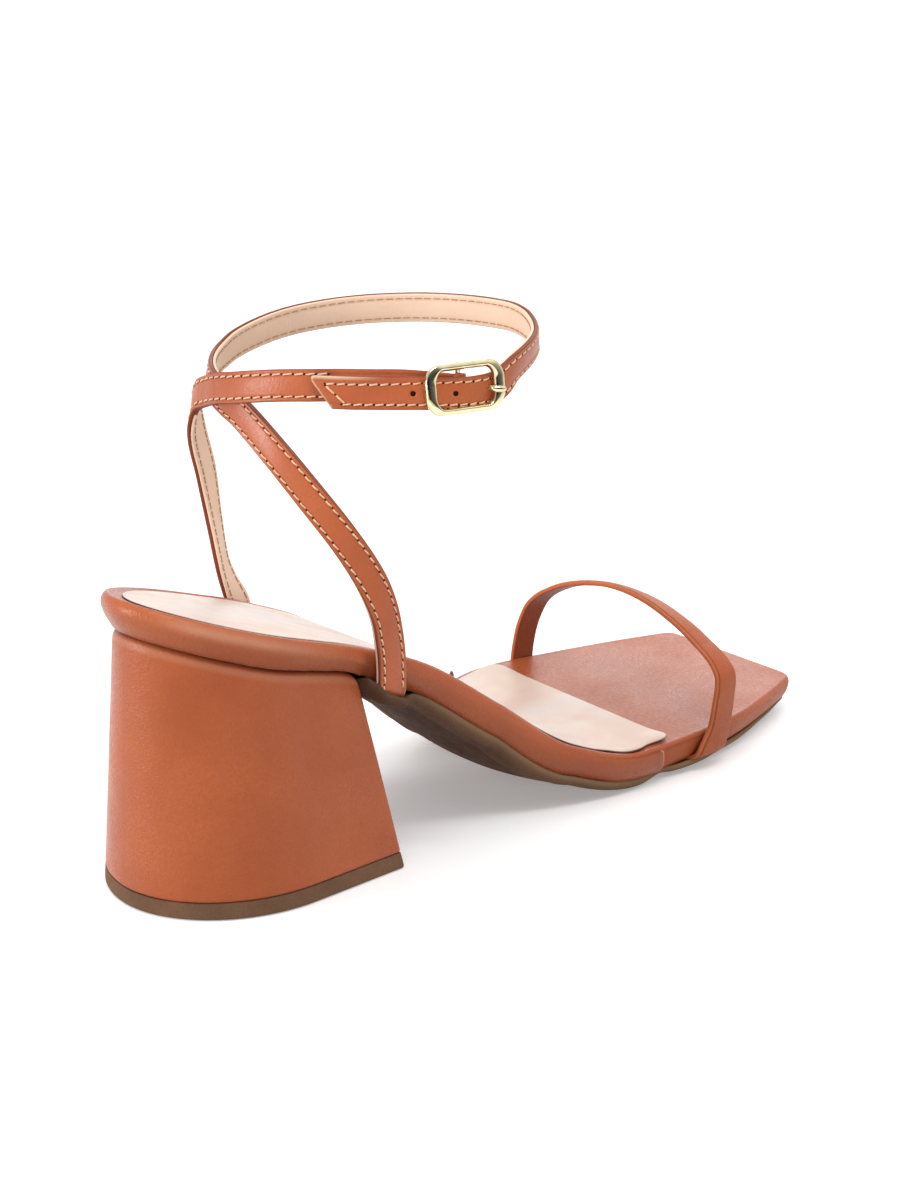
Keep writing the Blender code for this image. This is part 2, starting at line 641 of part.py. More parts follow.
def main():
    for obj in list(bpy.data.objects):
        bpy.data.objects.remove(obj)
    tan = paint("tan_leather", (0.50, 0.155, 0.07), 0.45)
    cream = paint("cream_leather", (0.80, 0.66, 0.56), 0.5)
    rubber = paint("brown_rubber", (0.15, 0.10, 0.06), 0.6)
    gold = paint("gold_metal", (0.85, 0.68, 0.32), 0.22, 1.0)

    footbed = make_footbed(tan)
    insock = make_insock(cream)
    outsole = make_outsole(rubber.copy())
    pairs = heel_rings()
    heel_rows = [heel_level(pairs, TOP_PIECE + GAP), heel_level(pairs)]
    heel = plate("heel", heel_rows, tan.copy())
    top_rows = [heel_level(pairs, 0.0), heel_level(pairs, TOP_PIECE)]
    top_piece = plate("heel_top_piece", top_rows, rubber)

    toe_path = thinned(flow(TOE_BAND, TOE_BAND_STEP), TUCK_STATIONS, TUCK_STATIONS)
    lateral_path = thinned(flow(list(LATERAL_LEG) + loop_rows(LATERAL_LOOP), STRAP_STEP), TUCK_STATIONS)
    medial_path = thinned(flow(list(MEDIAL_LEG) + loop_rows(MEDIAL_LOOP), STRAP_STEP), TUCK_STATIONS)
    toe_strap = sweep("toe_strap", toe_path, band_profile(TOE_BAND_WIDTH, TOE_BAND_THICK), tan.copy())
    strap = band_profile(STRAP_WIDTH, STRAP_THICK)
    ankle = sweep("ankle_straps", lateral_path, strap, tan.copy(), slant=TIP_SLANT)
    combine(ankle, sweep("medial", medial_path, strap), "UNION")
    frame, prong, tools = make_buckle(gold)
    for tool, operation in tools:
        combine(ankle, tool, operation)

    # Pockets for the strap ends between board and outsole
    roomy = band_profile(STRAP_WIDTH + 2 * GAP, STRAP_THICK + 2 * GAP)
    roomy_toe = band_profile(TOE_BAND_WIDTH + 2 * GAP, TOE_BAND_THICK + 2 * GAP)
    ends = (
        (lateral_path[:TUCK_STATIONS], roomy),
        (medial_path[:TUCK_STATIONS], roomy),
        (toe_path[:TUCK_STATIONS], roomy_toe),
        (toe_path[-TUCK_STATIONS:], roomy_toe),
    )
    for board in (footbed, outsole):
        for k, (path, profile) in enumerate(ends):
            combine(board, sweep("pocket_%d" % k, path, profile, extend=GAP), "DIFFERENCE")

    parts = (footbed, insock, outsole, heel, top_piece, toe_strap, ankle, frame, prong)
    points = np.array([v.co for part in parts for v in part.data.vertices])
    low, high = points.min(axis=0), points.max(axis=0)
    shift = np.array(((low[0] + high[0]) / 2, (low[1] + high[1]) / 2, low[2]))
    for part in parts:
        for v in part.data.vertices:
            v.co = [(c - s) * MM for c, s in zip(v.co, shift)]
        part.data.update()


main()
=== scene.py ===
# %% [markdown]
# # A block-heel sandal in tan leather
# This lesson dresses the packed model of a right-foot sandal: a flared block heel, a square toe, one toe
# band, and two ankle straps that cross behind the ankle and close with a small side buckle. The frame is
# loaded first and never moved. Each piece is then modelled over the solid that it stands for.

# %% Load the frame
import math

import bmesh
import bpy
import numpy as np
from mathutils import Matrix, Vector


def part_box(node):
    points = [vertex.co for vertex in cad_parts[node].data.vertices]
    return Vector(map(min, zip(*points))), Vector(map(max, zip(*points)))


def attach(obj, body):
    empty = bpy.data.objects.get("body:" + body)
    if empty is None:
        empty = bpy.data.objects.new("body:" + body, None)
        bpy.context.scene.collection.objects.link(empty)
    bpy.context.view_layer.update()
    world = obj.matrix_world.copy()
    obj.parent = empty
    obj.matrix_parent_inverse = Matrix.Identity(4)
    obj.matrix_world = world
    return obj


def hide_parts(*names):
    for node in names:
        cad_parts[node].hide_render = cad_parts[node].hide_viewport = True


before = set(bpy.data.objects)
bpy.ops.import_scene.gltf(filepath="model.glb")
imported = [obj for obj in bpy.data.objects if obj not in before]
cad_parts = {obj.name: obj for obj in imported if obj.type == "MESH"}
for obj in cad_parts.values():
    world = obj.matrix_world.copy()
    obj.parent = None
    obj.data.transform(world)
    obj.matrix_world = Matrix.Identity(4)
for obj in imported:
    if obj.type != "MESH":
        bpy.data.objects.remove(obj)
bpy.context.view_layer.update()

# %% [markdown]
# ## One ruler for every piece
# A maker measures a shoe from the back of its footbed, so the sizes below are millimetres from there, with
# +X to the toe and +Y to the inner side. The heel's rubber lift is square to the frame: its front edge and
# its outer side tell where that starting point lies in the packed model.

# %% Ruler
MM = 0.001
LIFT_FRONT = 66.7
LIFT_LATERAL = 29.4
lift_low, lift_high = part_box("heel_top_piece")
HEEL_BACK = np.array((LIFT_FRONT - lift_high[0] / MM, -LIFT_LATERAL - lift_low[1] / MM, 0.0))


def placed(points):
    """Millimetres from the heel's back, turned into metres of the frame."""
    return (np.asarray(points, float) - HEEL_BACK) * MM


print("the ruler starts at", [round(float(c), 2) for c in -HEEL_BACK], "mm in the frame")

# %% [markdown]
# ## Camera
# The photograph was taken from behind the outer side, a little above the ankle strap, with a long lens. The
# camera keeps that place. A small lens shift puts the shoe where it stands in the picture without turning
# the camera, so upright lines stay upright.

# %% Camera
EYE = (-0.3952, -0.38604, 0.23469)
EYE_TURN = (72.611, -0.681, -42.933)
LENS = 64.857
LENS_SHIFT = (0.04784, -0.02562)
lens = bpy.data.cameras.new("camera")
lens.lens = LENS
lens.sensor_width = 36.0
lens.shift_x, lens.shift_y = LENS_SHIFT
lens.clip_start = 0.01
camera = bpy.data.objects.new("camera", lens)
camera.location = EYE
camera.rotation_euler = [math.radians(a) for a in EYE_TURN]
bpy.context.scene.collection.objects.link(camera)
bpy.context.scene.camera = camera
bpy.context.scene.view_settings.view_transform = "Standard"
print("camera at", EYE, "lens", LENS, "mm")

# %% [markdown]
# ## Studio
# The shoe stands on a white table, which glows a little, as a lit table does, and keeps the shadows pale. A
# real table would also throw its white up under the shoe. It is hidden from diffuse rays here, so the dark
# under the sole and the depth of the leather's colour stay in the hands of the lamps.

# %% Floor
FLOOR_HALF = 12.0
FLOOR_LEVEL = -0.0002
floor_mesh = bpy.data.meshes.new("floor")
corner_signs = ((-1, -1), (1, -1), (1, 1), (-1, 1))
floor_corners = [(x * FLOOR_HALF, y * FLOOR_HALF, FLOOR_LEVEL) for x, y in corner_signs]
floor_mesh.from_pydata(floor_corners, [], [(0, 1, 2, 3)])
floor = bpy.data.objects.new("floor", floor_mesh)
bpy.context.scene.collection.objects.link(floor)
floor.visible_diffuse = False
print("floor:", 2 * FLOOR_HALF, "m across")

# %% [markdown]
# ### Lamps and tent
# A low soft box behind the heel, at the camera's left, gives the heel its light side, and one overhead
# whitens the table. A narrow strip above the camera draws a thin streak along rounded edges. A wide card in
# front of the outer side fills the shadows there, and stays out of the gloss. Round it all is a bright tent,
# made in the world's nodes: a window behind the toe puts a sheen on the flat leather, and a dark outer side
# gives the gold wire something to mirror.

# %% Lights
SOFT_BOXES = (
    # name, place, what it faces, width, height, watts, whether shiny things mirror it
    ("key_box", (-1.12, 0.40, 0.20), (-0.05, 0.0, 0.06), 0.26, 0.45, 8.2, True),
    ("over_box", (0.0, 0.1, 1.8), (0.02, 0.0, 0.0), 1.5, 1.5, 2.9, True),
    ("streak_box", (-0.38, -0.33, 1.1), (-0.05, 0.0, 0.05), 0.7, 0.12, 4.0, True),
    ("fill_card", (-0.50, -0.98, 0.22), (0.0, 0.0, 0.04), 1.4, 0.4, 7.2, False),
)
for name, place, target, width, height, watts, mirrored in SOFT_BOXES:
    light = bpy.data.lights.new(name, "AREA")
    light.shape = "RECTANGLE"
    light.size, light.size_y = width, height
    light.energy = watts
    lamp = bpy.data.objects.new(name, light)
    lamp.location = place
    lamp.visible_glossy = mirrored
    lamp.rotation_euler = (Vector(target) - Vector(place)).to_track_quat("-Z", "Y").to_euler()
    bpy.context.scene.collection.objects.link(lamp)
print("soft boxes:", len(SOFT_BOXES))

# %% Tent
TENT_PARTS = (
    # what the light is like there, middle of the part, where it starts and is full, how bright at both
    ("slow change", (0.6, 0.65, 0.47), -0.7, 0.35, 0.38, 0.92),
    ("window behind the toe", (0.72, 0.60, 0.34), 0.88, 0.98, 0.0, 1.4),
    ("strip over the outer side", (0.35, -0.60, 0.72), 0.90, 0.97, 0.0, 0.5),
    ("dark outer side", (-0.30, -0.94, 0.15), 0.45, 0.85, 0.0, -0.36),
)
tent = bpy.data.worlds.new("tent")
tent.use_nodes = True
bpy.context.scene.world = tent
tent_nodes, tent_links = tent.node_tree.nodes, tent.node_tree.links
direction = tent_nodes.new("ShaderNodeTexCoord")
bright = None
for name, aim, begin, full, low, high in TENT_PARTS:
    turn = tent_nodes.new("ShaderNodeVectorMath")
    turn.operation = "DOT_PRODUCT"
    turn.inputs[1].default_value = aim
    span = tent_nodes.new("ShaderNodeMapRange")
    for label, value in (("From Min", begin), ("From Max", full), ("To Min", low), ("To Max", high)):
        span.inputs[label].default_value = value
    tent_links.new(direction.outputs["Generated"], turn.inputs[0])
    tent_links.new(turn.outputs["Value"], span.inputs["Value"])
    if bright is None:
        bright = span.outputs["Result"]
    else:
        total = tent_nodes.new("ShaderNodeMath")
        tent_links.new(bright, total.inputs[0])
        tent_links.new(span.outputs["Result"], total.inputs[1])
        bright = total.outputs["Value"]
tent_links.new(bright, tent_nodes["Background"].inputs["Strength"])
tent_nodes["Background"].inputs["Color"].default_value = (1.0, 1.0, 1.0, 1.0)
print("tent:", [part[0] for part in TENT_PARTS])

# %% [markdown]
# ## Finishes
# Every finish is a Principled shader fed by a few noise patterns in object coordinates. Colour drifts
# slowly over the hide, a finer pattern breaks it up, and bump gives the grain. Pieces carry two painted
# values on their points. Shade darkens painted cut edges, and is also painted shade in creases, seams,
# grooves and hollows, and painted shadow where one part lies on another. Pale is mostly painted highlight
# on rims and ridges; it also lightens the edge near the strap's tip and the lift towards its bottom. A small
# class keeps the wiring short, because the same four or five nodes come back in every finish.

# %% Finish helper
class Finish:
    """A material whose nodes are added by short calls; sizes are millimetres."""

    def __init__(self, name, **fixed):
        self.mat = bpy.data.materials.new(name)
        self.mat.use_nodes = True
        self.tree = self.mat.node_tree
        self.shader = self.tree.nodes["Principled BSDF"]
        for label, value in fixed.items():
            self.shader.inputs[label.replace("_", " ")].default_value = value

    def add(self, kind, inputs=None, **settings):
        node = self.tree.nodes.new("ShaderNode" + kind)
        for key, value in settings.items():
            setattr(node, key, value)
        for key, value in (inputs or {}).items():
            self.feed(node.inputs[key], value)
        return node

    def feed(self, socket, value):
        if isinstance(value, bpy.types.NodeSocket):
            self.tree.links.new(value, socket)
        else:
            socket.default_value = value

    def spot(self, stretch=(1.0, 1.0, 1.0)):
        place = self.add("TexCoord").outputs["Object"]
        return self.add("Mapping", {"Vector": place, "Scale": stretch}).outputs["Vector"]

    def noise(self, size, detail=2.0, stretch=(1.0, 1.0, 1.0)):
        """Cloudy pattern with patches of about this size."""
        inputs = {"Vector": self.spot(stretch), "Scale": 1.0 / (size * MM), "Detail": detail}
        return self.add("TexNoise", inputs).outputs["Fac"]

    def cells(self, size):
        """Pebbles of about this size, low at their borders."""
        inputs = {"Vector": self.spot(), "Scale": 1.0 / (size * MM), "Smoothness": 0.6}
        return self.add("TexVoronoi", inputs, feature="SMOOTH_F1").outputs["Distance"]

    def painted(self, name):
        return self.add("Attribute", attribute_name=name).outputs["Fac"]

    def remap(self, value, low, high, start=0.36, stop=0.64):
        inputs = {"Value": value, "From Min": start, "From Max": stop, "To Min": low, "To Max": high}
        return self.add("MapRange", inputs).outputs["Result"]

    def blend(self, share, a, b):
        node = self.add("Mix", {0: share, 6: a, 7: b}, data_type="RGBA")
        return node.outputs[2]

    def bump(self, height, depth, strength=1.0, under=None):
        inputs = {"Height": height, "Distance": depth * MM, "Strength": strength}
        if under:
            inputs["Normal"] = under
        return self.add("Bump", inputs).outputs["Normal"]

    def wear(self, colour, rough, normal):
        worn = {"Base Color": colour, "Roughness": rough, "Normal": normal, "Coat Normal": normal}
        for label, value in worn.items():
            self.feed(self.shader.inputs[label], value)
        return self.mat


def rgb(r, g, b):
    return (r, g, b, 1.0)


print("finish calls:", [call for call in vars(Finish) if not call.startswith("_")])

# %% [markdown]
# ### Leathers
# The tan hide is dyed through and lightly waxed: a fine pebble grain, a slow drift of colour and a satin
# gloss that whitens where the light glances off. One recipe serves every hide. The ankle straps are
# smoother and glossier, so a highlight runs along them unbroken; the toe band is duller, and so is the front
# length of the footbed's wrap. The lining is pale, and cut edges are painted a darker brown.

# %% Leather finishes
# Shade lays the edge tones: real edge paint, and painted shade in creases, seams and grooves; the lining's
# edge tone is only painted shade in its stitch grooves. Pale lays the light tone: painted highlights, and the
# pale edge near the strap's tip.
RUBBED_AND_HIGHLIGHT = rgb(0.90, 0.68, 0.48)
TAN_EDGE_AND_SHADE = rgb(0.20, 0.050, 0.022)
LINING_GROOVE_SHADE = rgb(0.30, 0.16, 0.09)
TAN_TONES = (rgb(0.432, 0.105, 0.034), rgb(0.357, 0.080, 0.025), TAN_EDGE_AND_SHADE)
STRAP_TONES = (rgb(0.470, 0.116, 0.038), rgb(0.390, 0.088, 0.028), TAN_EDGE_AND_SHADE)
BAND_TONES = (rgb(0.455, 0.112, 0.036), rgb(0.376, 0.085, 0.026), TAN_EDGE_AND_SHADE)
EDGE_TONES = (rgb(0.27, 0.068, 0.031), rgb(0.20, 0.048, 0.022), TAN_EDGE_AND_SHADE)
RAW_TONES = (rgb(0.66, 0.34, 0.20), rgb(0.54, 0.25, 0.14), TAN_EDGE_AND_SHADE)
LINING_TONES = (rgb(0.86, 0.64, 0.49), rgb(0.80, 0.57, 0.42), LINING_GROOVE_SHADE)


def leather(name, light, dark, edge, rough, grain, coat, polish=0.22):
    """Grained hide, two drifting tones, satin coat; shade: edge paint and painted shade; pale: painted
    highlight.
    """
    f = Finish(name, Coat_Weight=coat, Coat_Roughness=polish, Specular_IOR_Level=0.16)
    drift = f.remap(f.noise(26.0, 3.0), 0.0, 1.0)
    tone = f.blend(drift, light, dark)
    fleck = f.remap(f.noise(0.8, 3.0), 0.0, 0.4)
    tone = f.blend(fleck, tone, dark)
    tone = f.blend(f.painted("pale"), tone, RUBBED_AND_HIGHLIGHT)
    tone = f.blend(f.painted("shade"), tone, edge)
    gloss = f.remap(f.noise(0.9, 3.0), rough - 0.08, rough + 0.10)
    gloss = f.add("Math", {0: gloss, 1: f.remap(f.noise(17.0, 2.0), -0.05, 0.08)}).outputs[0]
    waves = f.bump(f.noise(7.0, 2.0), 0.05, grain)
    pebbles = f.bump(f.cells(0.6), 0.10, grain, waves)
    pores = f.bump(f.noise(0.35, 2.0), 0.12, grain, pebbles)
    return f.wear(tone, gloss, pores)


TAN = leather("tan_hide", *TAN_TONES, rough=0.36, grain=0.8, coat=0.23)
STRAP = leather("strap_hide", *STRAP_TONES, rough=0.36, grain=0.3, coat=0.42, polish=0.36)
BAND = leather("band_hide", *BAND_TONES, rough=0.48, grain=0.7, coat=0.08)
EDGE = leather("edge_paint", *EDGE_TONES, rough=0.46, grain=0.3, coat=0.08)
RAW = leather("raw_cut", *RAW_TONES, rough=0.7, grain=0.8, coat=0.0)
LINING = leather("lining_hide", *LINING_TONES, rough=0.55, grain=0.5, coat=0.0)
print("leathers:", [m.name for m in (TAN, STRAP, BAND, EDGE, RAW, LINING)])

# %% [markdown]
# ### Insock
# The insock is a thin cream sheet, polished by the stamping press. Faint yellow and pink streaks run along
# it, so its noise is stretched along X with a Mapping node.

# %% Insock finish
CREAM_COOL, CREAM_WARM, CREAM_ROSY = rgb(0.67, 0.565, 0.505), rgb(0.66, 0.50, 0.40), rgb(0.64, 0.44, 0.365)
CREAM_EDGE_SHADE = rgb(0.10, 0.035, 0.02)


def cream_sheet():
    """Cream sheet with long warm and rosy streaks, and a dark edge by shade: its cut edge and painted shade.
    """
    f = Finish("cream_sheet", Coat_Weight=0.08, Coat_Roughness=0.35)
    warm = f.remap(f.noise(24.0, 3.0, (0.28, 1.0, 1.0)), 0.0, 1.0, 0.4, 0.62)
    tone = f.blend(warm, CREAM_COOL, CREAM_WARM)
    rosy = f.remap(f.noise(13.0, 2.0, (0.3, 1.0, 1.0)), 0.0, 0.6, 0.5, 0.66)
    tone = f.blend(rosy, tone, CREAM_ROSY)
    tone = f.blend(f.painted("shade"), tone, CREAM_EDGE_SHADE)
    gloss = f.remap(f.noise(6.0, 3.0), 0.38, 0.52)
    soft = f.bump(f.noise(7.0, 2.0), 0.12, 0.5)
    return f.wear(tone, gloss, f.bump(f.noise(0.35, 2.0), 0.02, 0.5, soft))


CREAM = cream_sheet()
print("insock finish:", CREAM.name)

# %% [markdown]
# ### Rubber, metal and thread
# The sole is a moulded olive-brown rubber, dull, with a faint speckle; its rounded lip has a painted
# highlight.
# The buckle is polished pale gold. The thread is a waxed cream yarn, and the needle holes between two
# stitches are simply dark: painted shade.

# %% Rubber, metal and thread finishes
RUBBER_SPECK, RUBBER_PALE = rgb(0.04, 0.028, 0.018), rgb(0.24, 0.150, 0.085)
RUBBER_SHADE = rgb(0.035, 0.022, 0.014)
GOLD_PALE, GOLD_DEEP = rgb(0.80, 0.73, 0.50), rgb(0.70, 0.61, 0.36)


def rubber(name, light, dark):
    """Dull speckled rubber, lighter where pale is painted and dark where shade is."""
    f = Finish(name, Specular_IOR_Level=0.05)
    tone = f.blend(f.remap(f.noise(12.0, 4.0), 0.0, 1.0), light, dark)
    tone = f.blend(f.remap(f.noise(0.5, 2.0), 0.0, 0.35), tone, RUBBER_SPECK)
    # pale: painted highlight on the sole's lip, and the lift paler towards its bottom; shade: painted shade
    tone = f.blend(f.painted("pale"), tone, RUBBER_PALE)
    tone = f.blend(f.painted("shade"), tone, RUBBER_SHADE)
    gloss = f.remap(f.noise(2.0, 3.0), 0.6, 0.8)
    return f.wear(tone, gloss, f.bump(f.noise(0.3, 3.0), 0.03, 0.5))


def gilt():
    """Polished plating, a little uneven in colour and gloss."""
    f = Finish("pale_gold", Metallic=1.0)
    tone = f.blend(f.remap(f.noise(2.5, 3.0), 0.0, 1.0), GOLD_PALE, GOLD_DEEP)
    gloss = f.remap(f.noise(1.2, 3.0), 0.04, 0.09)
    return f.wear(tone, gloss, f.bump(f.noise(0.8, 2.0), 0.01, 0.3))


def yarn(name, light, dark, shine=0.4):
    """Spun thread: two tones and a fine rough surface."""
    f = Finish(name, Specular_IOR_Level=shine)
    tone = f.blend(f.remap(f.noise(0.5, 2.0), 0.0, 1.0), light, dark)
    return f.wear(tone, f.remap(f.noise(0.3, 2.0), 0.5, 0.7), f.bump(f.noise(0.12, 2.0), 0.03, 0.8))


RUBBER = rubber("sole_rubber", rgb(0.185, 0.090, 0.052), rgb(0.130, 0.062, 0.038))
GOLD = gilt()
THREAD = yarn("cream_thread", rgb(0.84, 0.54, 0.36), rgb(0.72, 0.41, 0.25))
BACK_THREAD = yarn("brown_thread", rgb(0.52, 0.29, 0.17), rgb(0.36, 0.18, 0.09))
# dark beads and hole walls: painted shade of needle holes and punched holes
NEEDLE_SHADE = yarn("painted_hole_shade", rgb(0.060, 0.016, 0.009), rgb(0.085, 0.025, 0.013), 0.0)
print("finishes:", len(bpy.data.materials))

# %% [markdown]
# ### Table
# The table top is white card with hardly any grain. It only has to catch the shadows.

# %% Table finish
CARD_WHITE, CARD_COOL = rgb(0.93, 0.93, 0.93), rgb(0.92, 0.92, 0.925)


def card():
    """White card that glows a little."""
    f = Finish("white_card", Specular_IOR_Level=0.2, Emission_Color=rgb(1, 1, 1), Emission_Strength=0.2)
    tone = f.blend(f.remap(f.noise(80.0, 2.0), 0.0, 1.0), CARD_WHITE, CARD_COOL)
    return f.wear(tone, f.remap(f.noise(20.0, 2.0), 0.55, 0.65), f.bump(f.noise(1.0, 2.0), 0.005, 0.2))


floor_mesh.materials.append(card())
print("floor finish:", floor_mesh.materials[0].name)

# %% [markdown]
# ## Curves and sections
# Nearly every piece of a shoe is a row of sections: outlines stacked from the sole upward, or one profile
# carried along a strap. Two curve helpers read the tables of sections, and two small ones, a hump and a
# step, shape creases and fades.

# %% Curves through tables
def level_curve(rows, column=1):
    """Monotone curve through a table, level between equal rows; reads a number or an array."""
    x = np.array([r[0] for r in rows], float)
    y = np.array([r[column] for r in rows], float)
    h = np.diff(x)
    s = np.diff(y) / h
    m = np.concatenate([s[:1], np.zeros(len(x) - 2), s[-1:]])
    for i in range(1, len(x) - 1):
        if s[i - 1] * s[i] > 0:
            w0, w1 = 2 * h[i] + h[i - 1], h[i] + 2 * h[i - 1]
            m[i] = (w0 + w1) / (w0 / s[i - 1] + w1 / s[i])

    def at(q):
        q = np.clip(q, x[0], x[-1])
        i = np.clip(np.searchsorted(x, q) - 1, 0, len(h) - 1)
        t = (q - x[i]) / h[i]
        a = (1 + 2 * t) * (1 - t) ** 2 * y[i] + t * (1 - t) ** 2 * h[i] * m[i]
        return a + t * t * (3 - 2 * t) * y[i + 1] + t * t * (t - 1) * h[i] * m[i + 1]
    return at


def flow(rows, step):
    """Even stations on a smooth curve through rows, spaced by their first three columns."""
    p = np.array(rows, float)
    d = np.linalg.norm(np.diff(p[:, :3], axis=0), axis=1)
    s = np.concatenate([[0.0], np.cumsum(d)])
    m = np.empty_like(p)
    m[1:-1] = (p[2:] - p[:-2]) / (s[2:] - s[:-2])[:, None]
    m[0], m[-1] = (p[1] - p[0]) / d[0], (p[-1] - p[-2]) / d[-1]
    q = np.linspace(0.0, s[-1], max(2, int(round(s[-1] / step))) + 1)
    i = np.clip(np.searchsorted(s, q) - 1, 0, len(d) - 1)
    h = d[i][:, None]
    t = ((q - s[i]) / d[i])[:, None]
    a = (1 + 2 * t) * (1 - t) ** 2 * p[i] + t * (1 - t) ** 2 * h * m[i]
    return a + t * t * (3 - 2 * t) * p[i + 1] + t * t * (t - 1) * h * m[i + 1]


def bell(x, middle, reach):
    """Soft hump of height one."""
    return np.exp(-((np.asarray(x, float) - middle) / reach) ** 2)


def ramp(x, start, stop):
    """Smooth step from nought at start to one at stop."""
    t = np.clip((np.asarray(x, float) - start) / (stop - start), 0.0, 1.0)
    return t * t * (3 - 2 * t)


print("bell at its reach:", round(float(bell(1.0, 0.0, 1.0)), 3))

# %% [markdown]
# One class gathers grids of points into a mesh. A sculpted surface would do for one shoe, but a grid follows
# its sections when a size is changed, and its even faces are what a smooth highlight needs. Doubled points
# along the seams are merged at the end, so each piece is closed.

# %% Grids into meshes
class Piece:
    """Collects grids of points, in millimetres from the heel's back, into one mesh."""

    def __init__(self, name, *finishes):
        self.name = name
        self.finishes = finishes
        self.points, self.shade, self.pale = [], [], []
        self.faces, self.slots = [], []

    def grid(self, rows, around=False, loop=False, finish=0, shade=0.0, pale=0.0):
        """Adds an n by m grid; around joins the last column to the first, loop the last row to the first."""
        n, m = rows.shape[:2]
        start = sum(len(p) for p in self.points)
        self.points.append(rows.reshape(-1, 3))
        self.shade.append(np.broadcast_to(shade, (n, m)).ravel())
        self.pale.append(np.broadcast_to(pale, (n, m)).ravel())
        finish = np.broadcast_to(finish, (n, m))
        for i in range(n if loop else n - 1):
            here, there = start + i * m, start + (i + 1) % n * m
            for k in range(m if around else m - 1):
                q = (k + 1) % m
                self.faces.append((here + k, here + q, there + q, there + k))
                self.slots.append(int(finish[i, k]))
        return start

    def tube(self, rows, finish=0, ends=None, **tones):
        """Closed band or wire: a grid joined around, with a face at each end."""
        n, m = rows.shape[:2]
        start = self.grid(rows, around=True, finish=finish, **tones)
        for first in (start, start + (n - 1) * m):
            self.faces.append(tuple(range(first, first + m)))
            self.slots.append(int(np.max(finish)) if ends is None else ends)

    def sheet(self, rows, up, down, finish=0, walls=((0, 0.0),) * 4, shade=0.0):
        """Closed sheet over a grid, from down below it to up above it; walls give finish and shade."""
        along, over = np.gradient(rows, axis=0), np.gradient(rows, axis=1)
        normal = np.cross(along, over)
        normal /= np.linalg.norm(normal, axis=2)[..., None]
        top = rows + normal * np.broadcast_to(up, rows.shape[:2])[..., None]
        under = rows - normal * np.broadcast_to(down, rows.shape[:2])[..., None]
        self.grid(top, finish=finish, shade=shade)
        self.grid(under, finish=finish, shade=shade)
        edges = [(top[k], under[k]) for k in (0, -1)]
        edges += [(top[:, k], under[:, k]) for k in (0, -1)]
        for (a, b), (wall, dark) in zip(edges, walls):
            self.grid(np.stack([a, b]), finish=wall, shade=dark)

    def make(self, sharp=50.0):
        """The finished object: painted, merged, facing outward, with its cut edges left sharp."""
        mesh = bpy.data.meshes.new(self.name)
        mesh.from_pydata(placed(np.concatenate(self.points)).tolist(), [], self.faces)
        for finish in self.finishes:
            mesh.materials.append(finish)
        mesh.polygons.foreach_set("material_index", self.slots)
        for name, values in (("shade", self.shade), ("pale", self.pale)):
            layer = mesh.attributes.new(name, "FLOAT", "POINT")
            layer.data.foreach_set("value", np.concatenate(values).astype(np.float32))
        bm = bmesh.new()
        bm.from_mesh(mesh)
        bmesh.ops.remove_doubles(bm, verts=bm.verts, dist=1e-6)
        bmesh.ops.recalc_face_normals(bm, faces=bm.faces)
        bm.to_mesh(mesh)
        bm.free()
        mesh.shade_smooth()
        mesh.set_sharp_from_angle(angle=math.radians(sharp))
        obj = bpy.data.objects.new(self.name, mesh)
        bpy.context.scene.collection.objects.link(obj)
        return obj


def dress(obj, slot, *nodes):
    """Ties a finished piece to the frame: its body and the solids it stands for; slot is not used."""
    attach(obj, "root")
    if nodes:
        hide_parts(*nodes)
    print(obj.name, "has", len(obj.data.polygons), "faces")


print("piece calls:", [call for call in vars(Piece) if not call.startswith("_")])

# %% [markdown]
# ## The footbed's plan
# The footbed decides the whole shoe: a round heel, a narrow waist, a wide ball and a square toe whose outer
# corner lies a little back. Each side is one smooth line through a few measured widths. Everything else,
# from insock to outsole, is this outline moved in or out.

# %% Plan and profile tables
HEEL_RUN, HEEL_HALF, HEEL_MID, HEEL_POWER = 33.6, 26.4, -0.25, 1.85
HEEL_FIRST = 2.0
SIDES = (
    # x, lateral y, medial y
    (33.6, -26.65, 26.15),
    (70.0, -27.2, 25.3),
    (105.0, -31.0, 28.2),
    (135.0, -36.2, 35.8),
    (162.0, -37.6, 41.6),
    (190.0, -36.0, 37.6),
    (213.0, -30.2, 33.0),
)
TOE_LATERAL, TOE_MEDIAL, TOE_CORNER = (232.2, -23.9), (236.0, 26.9), 4.5
PROFILE = (
    # x, top z, board thickness
    (0.0, 78.4, 8.0),
    (25.0, 70.0, 8.0),
    (44.0, 64.0, 7.0),
    (50.0, 62.1, 6.7),
    (54.0, 60.7, 6.9),
    (57.5, 59.4, 8.0),
    (60.0, 58.4, 8.0),
    (75.0, 51.9, 8.0),
    (100.0, 35.3, 8.0),
    (125.0, 18.1, 8.0),
    (150.0, 11.2, 8.0),
    (174.0, 11.2, 8.0),
    (205.0, 10.7, 7.1),
    (236.0, 10.2, 5.9),
)
HEEL_STEPS, SIDE_STEPS, CORNER_STEPS = 40, 230, 10
top_height = level_curve(PROFILE, 1)
board_thick = level_curve(PROFILE, 2)
HEEL_TURN = np.radians(np.linspace(HEEL_FIRST, 90.0, HEEL_STEPS + 1)[:-1])


def steepness(x):
    slope = top_height(x + 0.5) - top_height(x - 0.5)
    return np.sqrt(1.0 + slope * slope)


def corner_line(start, corner, far, trim):
    """Rounded corner from start by the corner to a point trim along the front edge."""
    a, c, far = np.array(start), np.array(corner), np.array(far)
    b = c + (far - c) / np.linalg.norm(far - c) * trim
    t = np.linspace(0.0, 1.0, CORNER_STEPS + 1)[1:, None]
    return (1 - t) ** 2 * a + 2 * t * (1 - t) * c + t * t * b


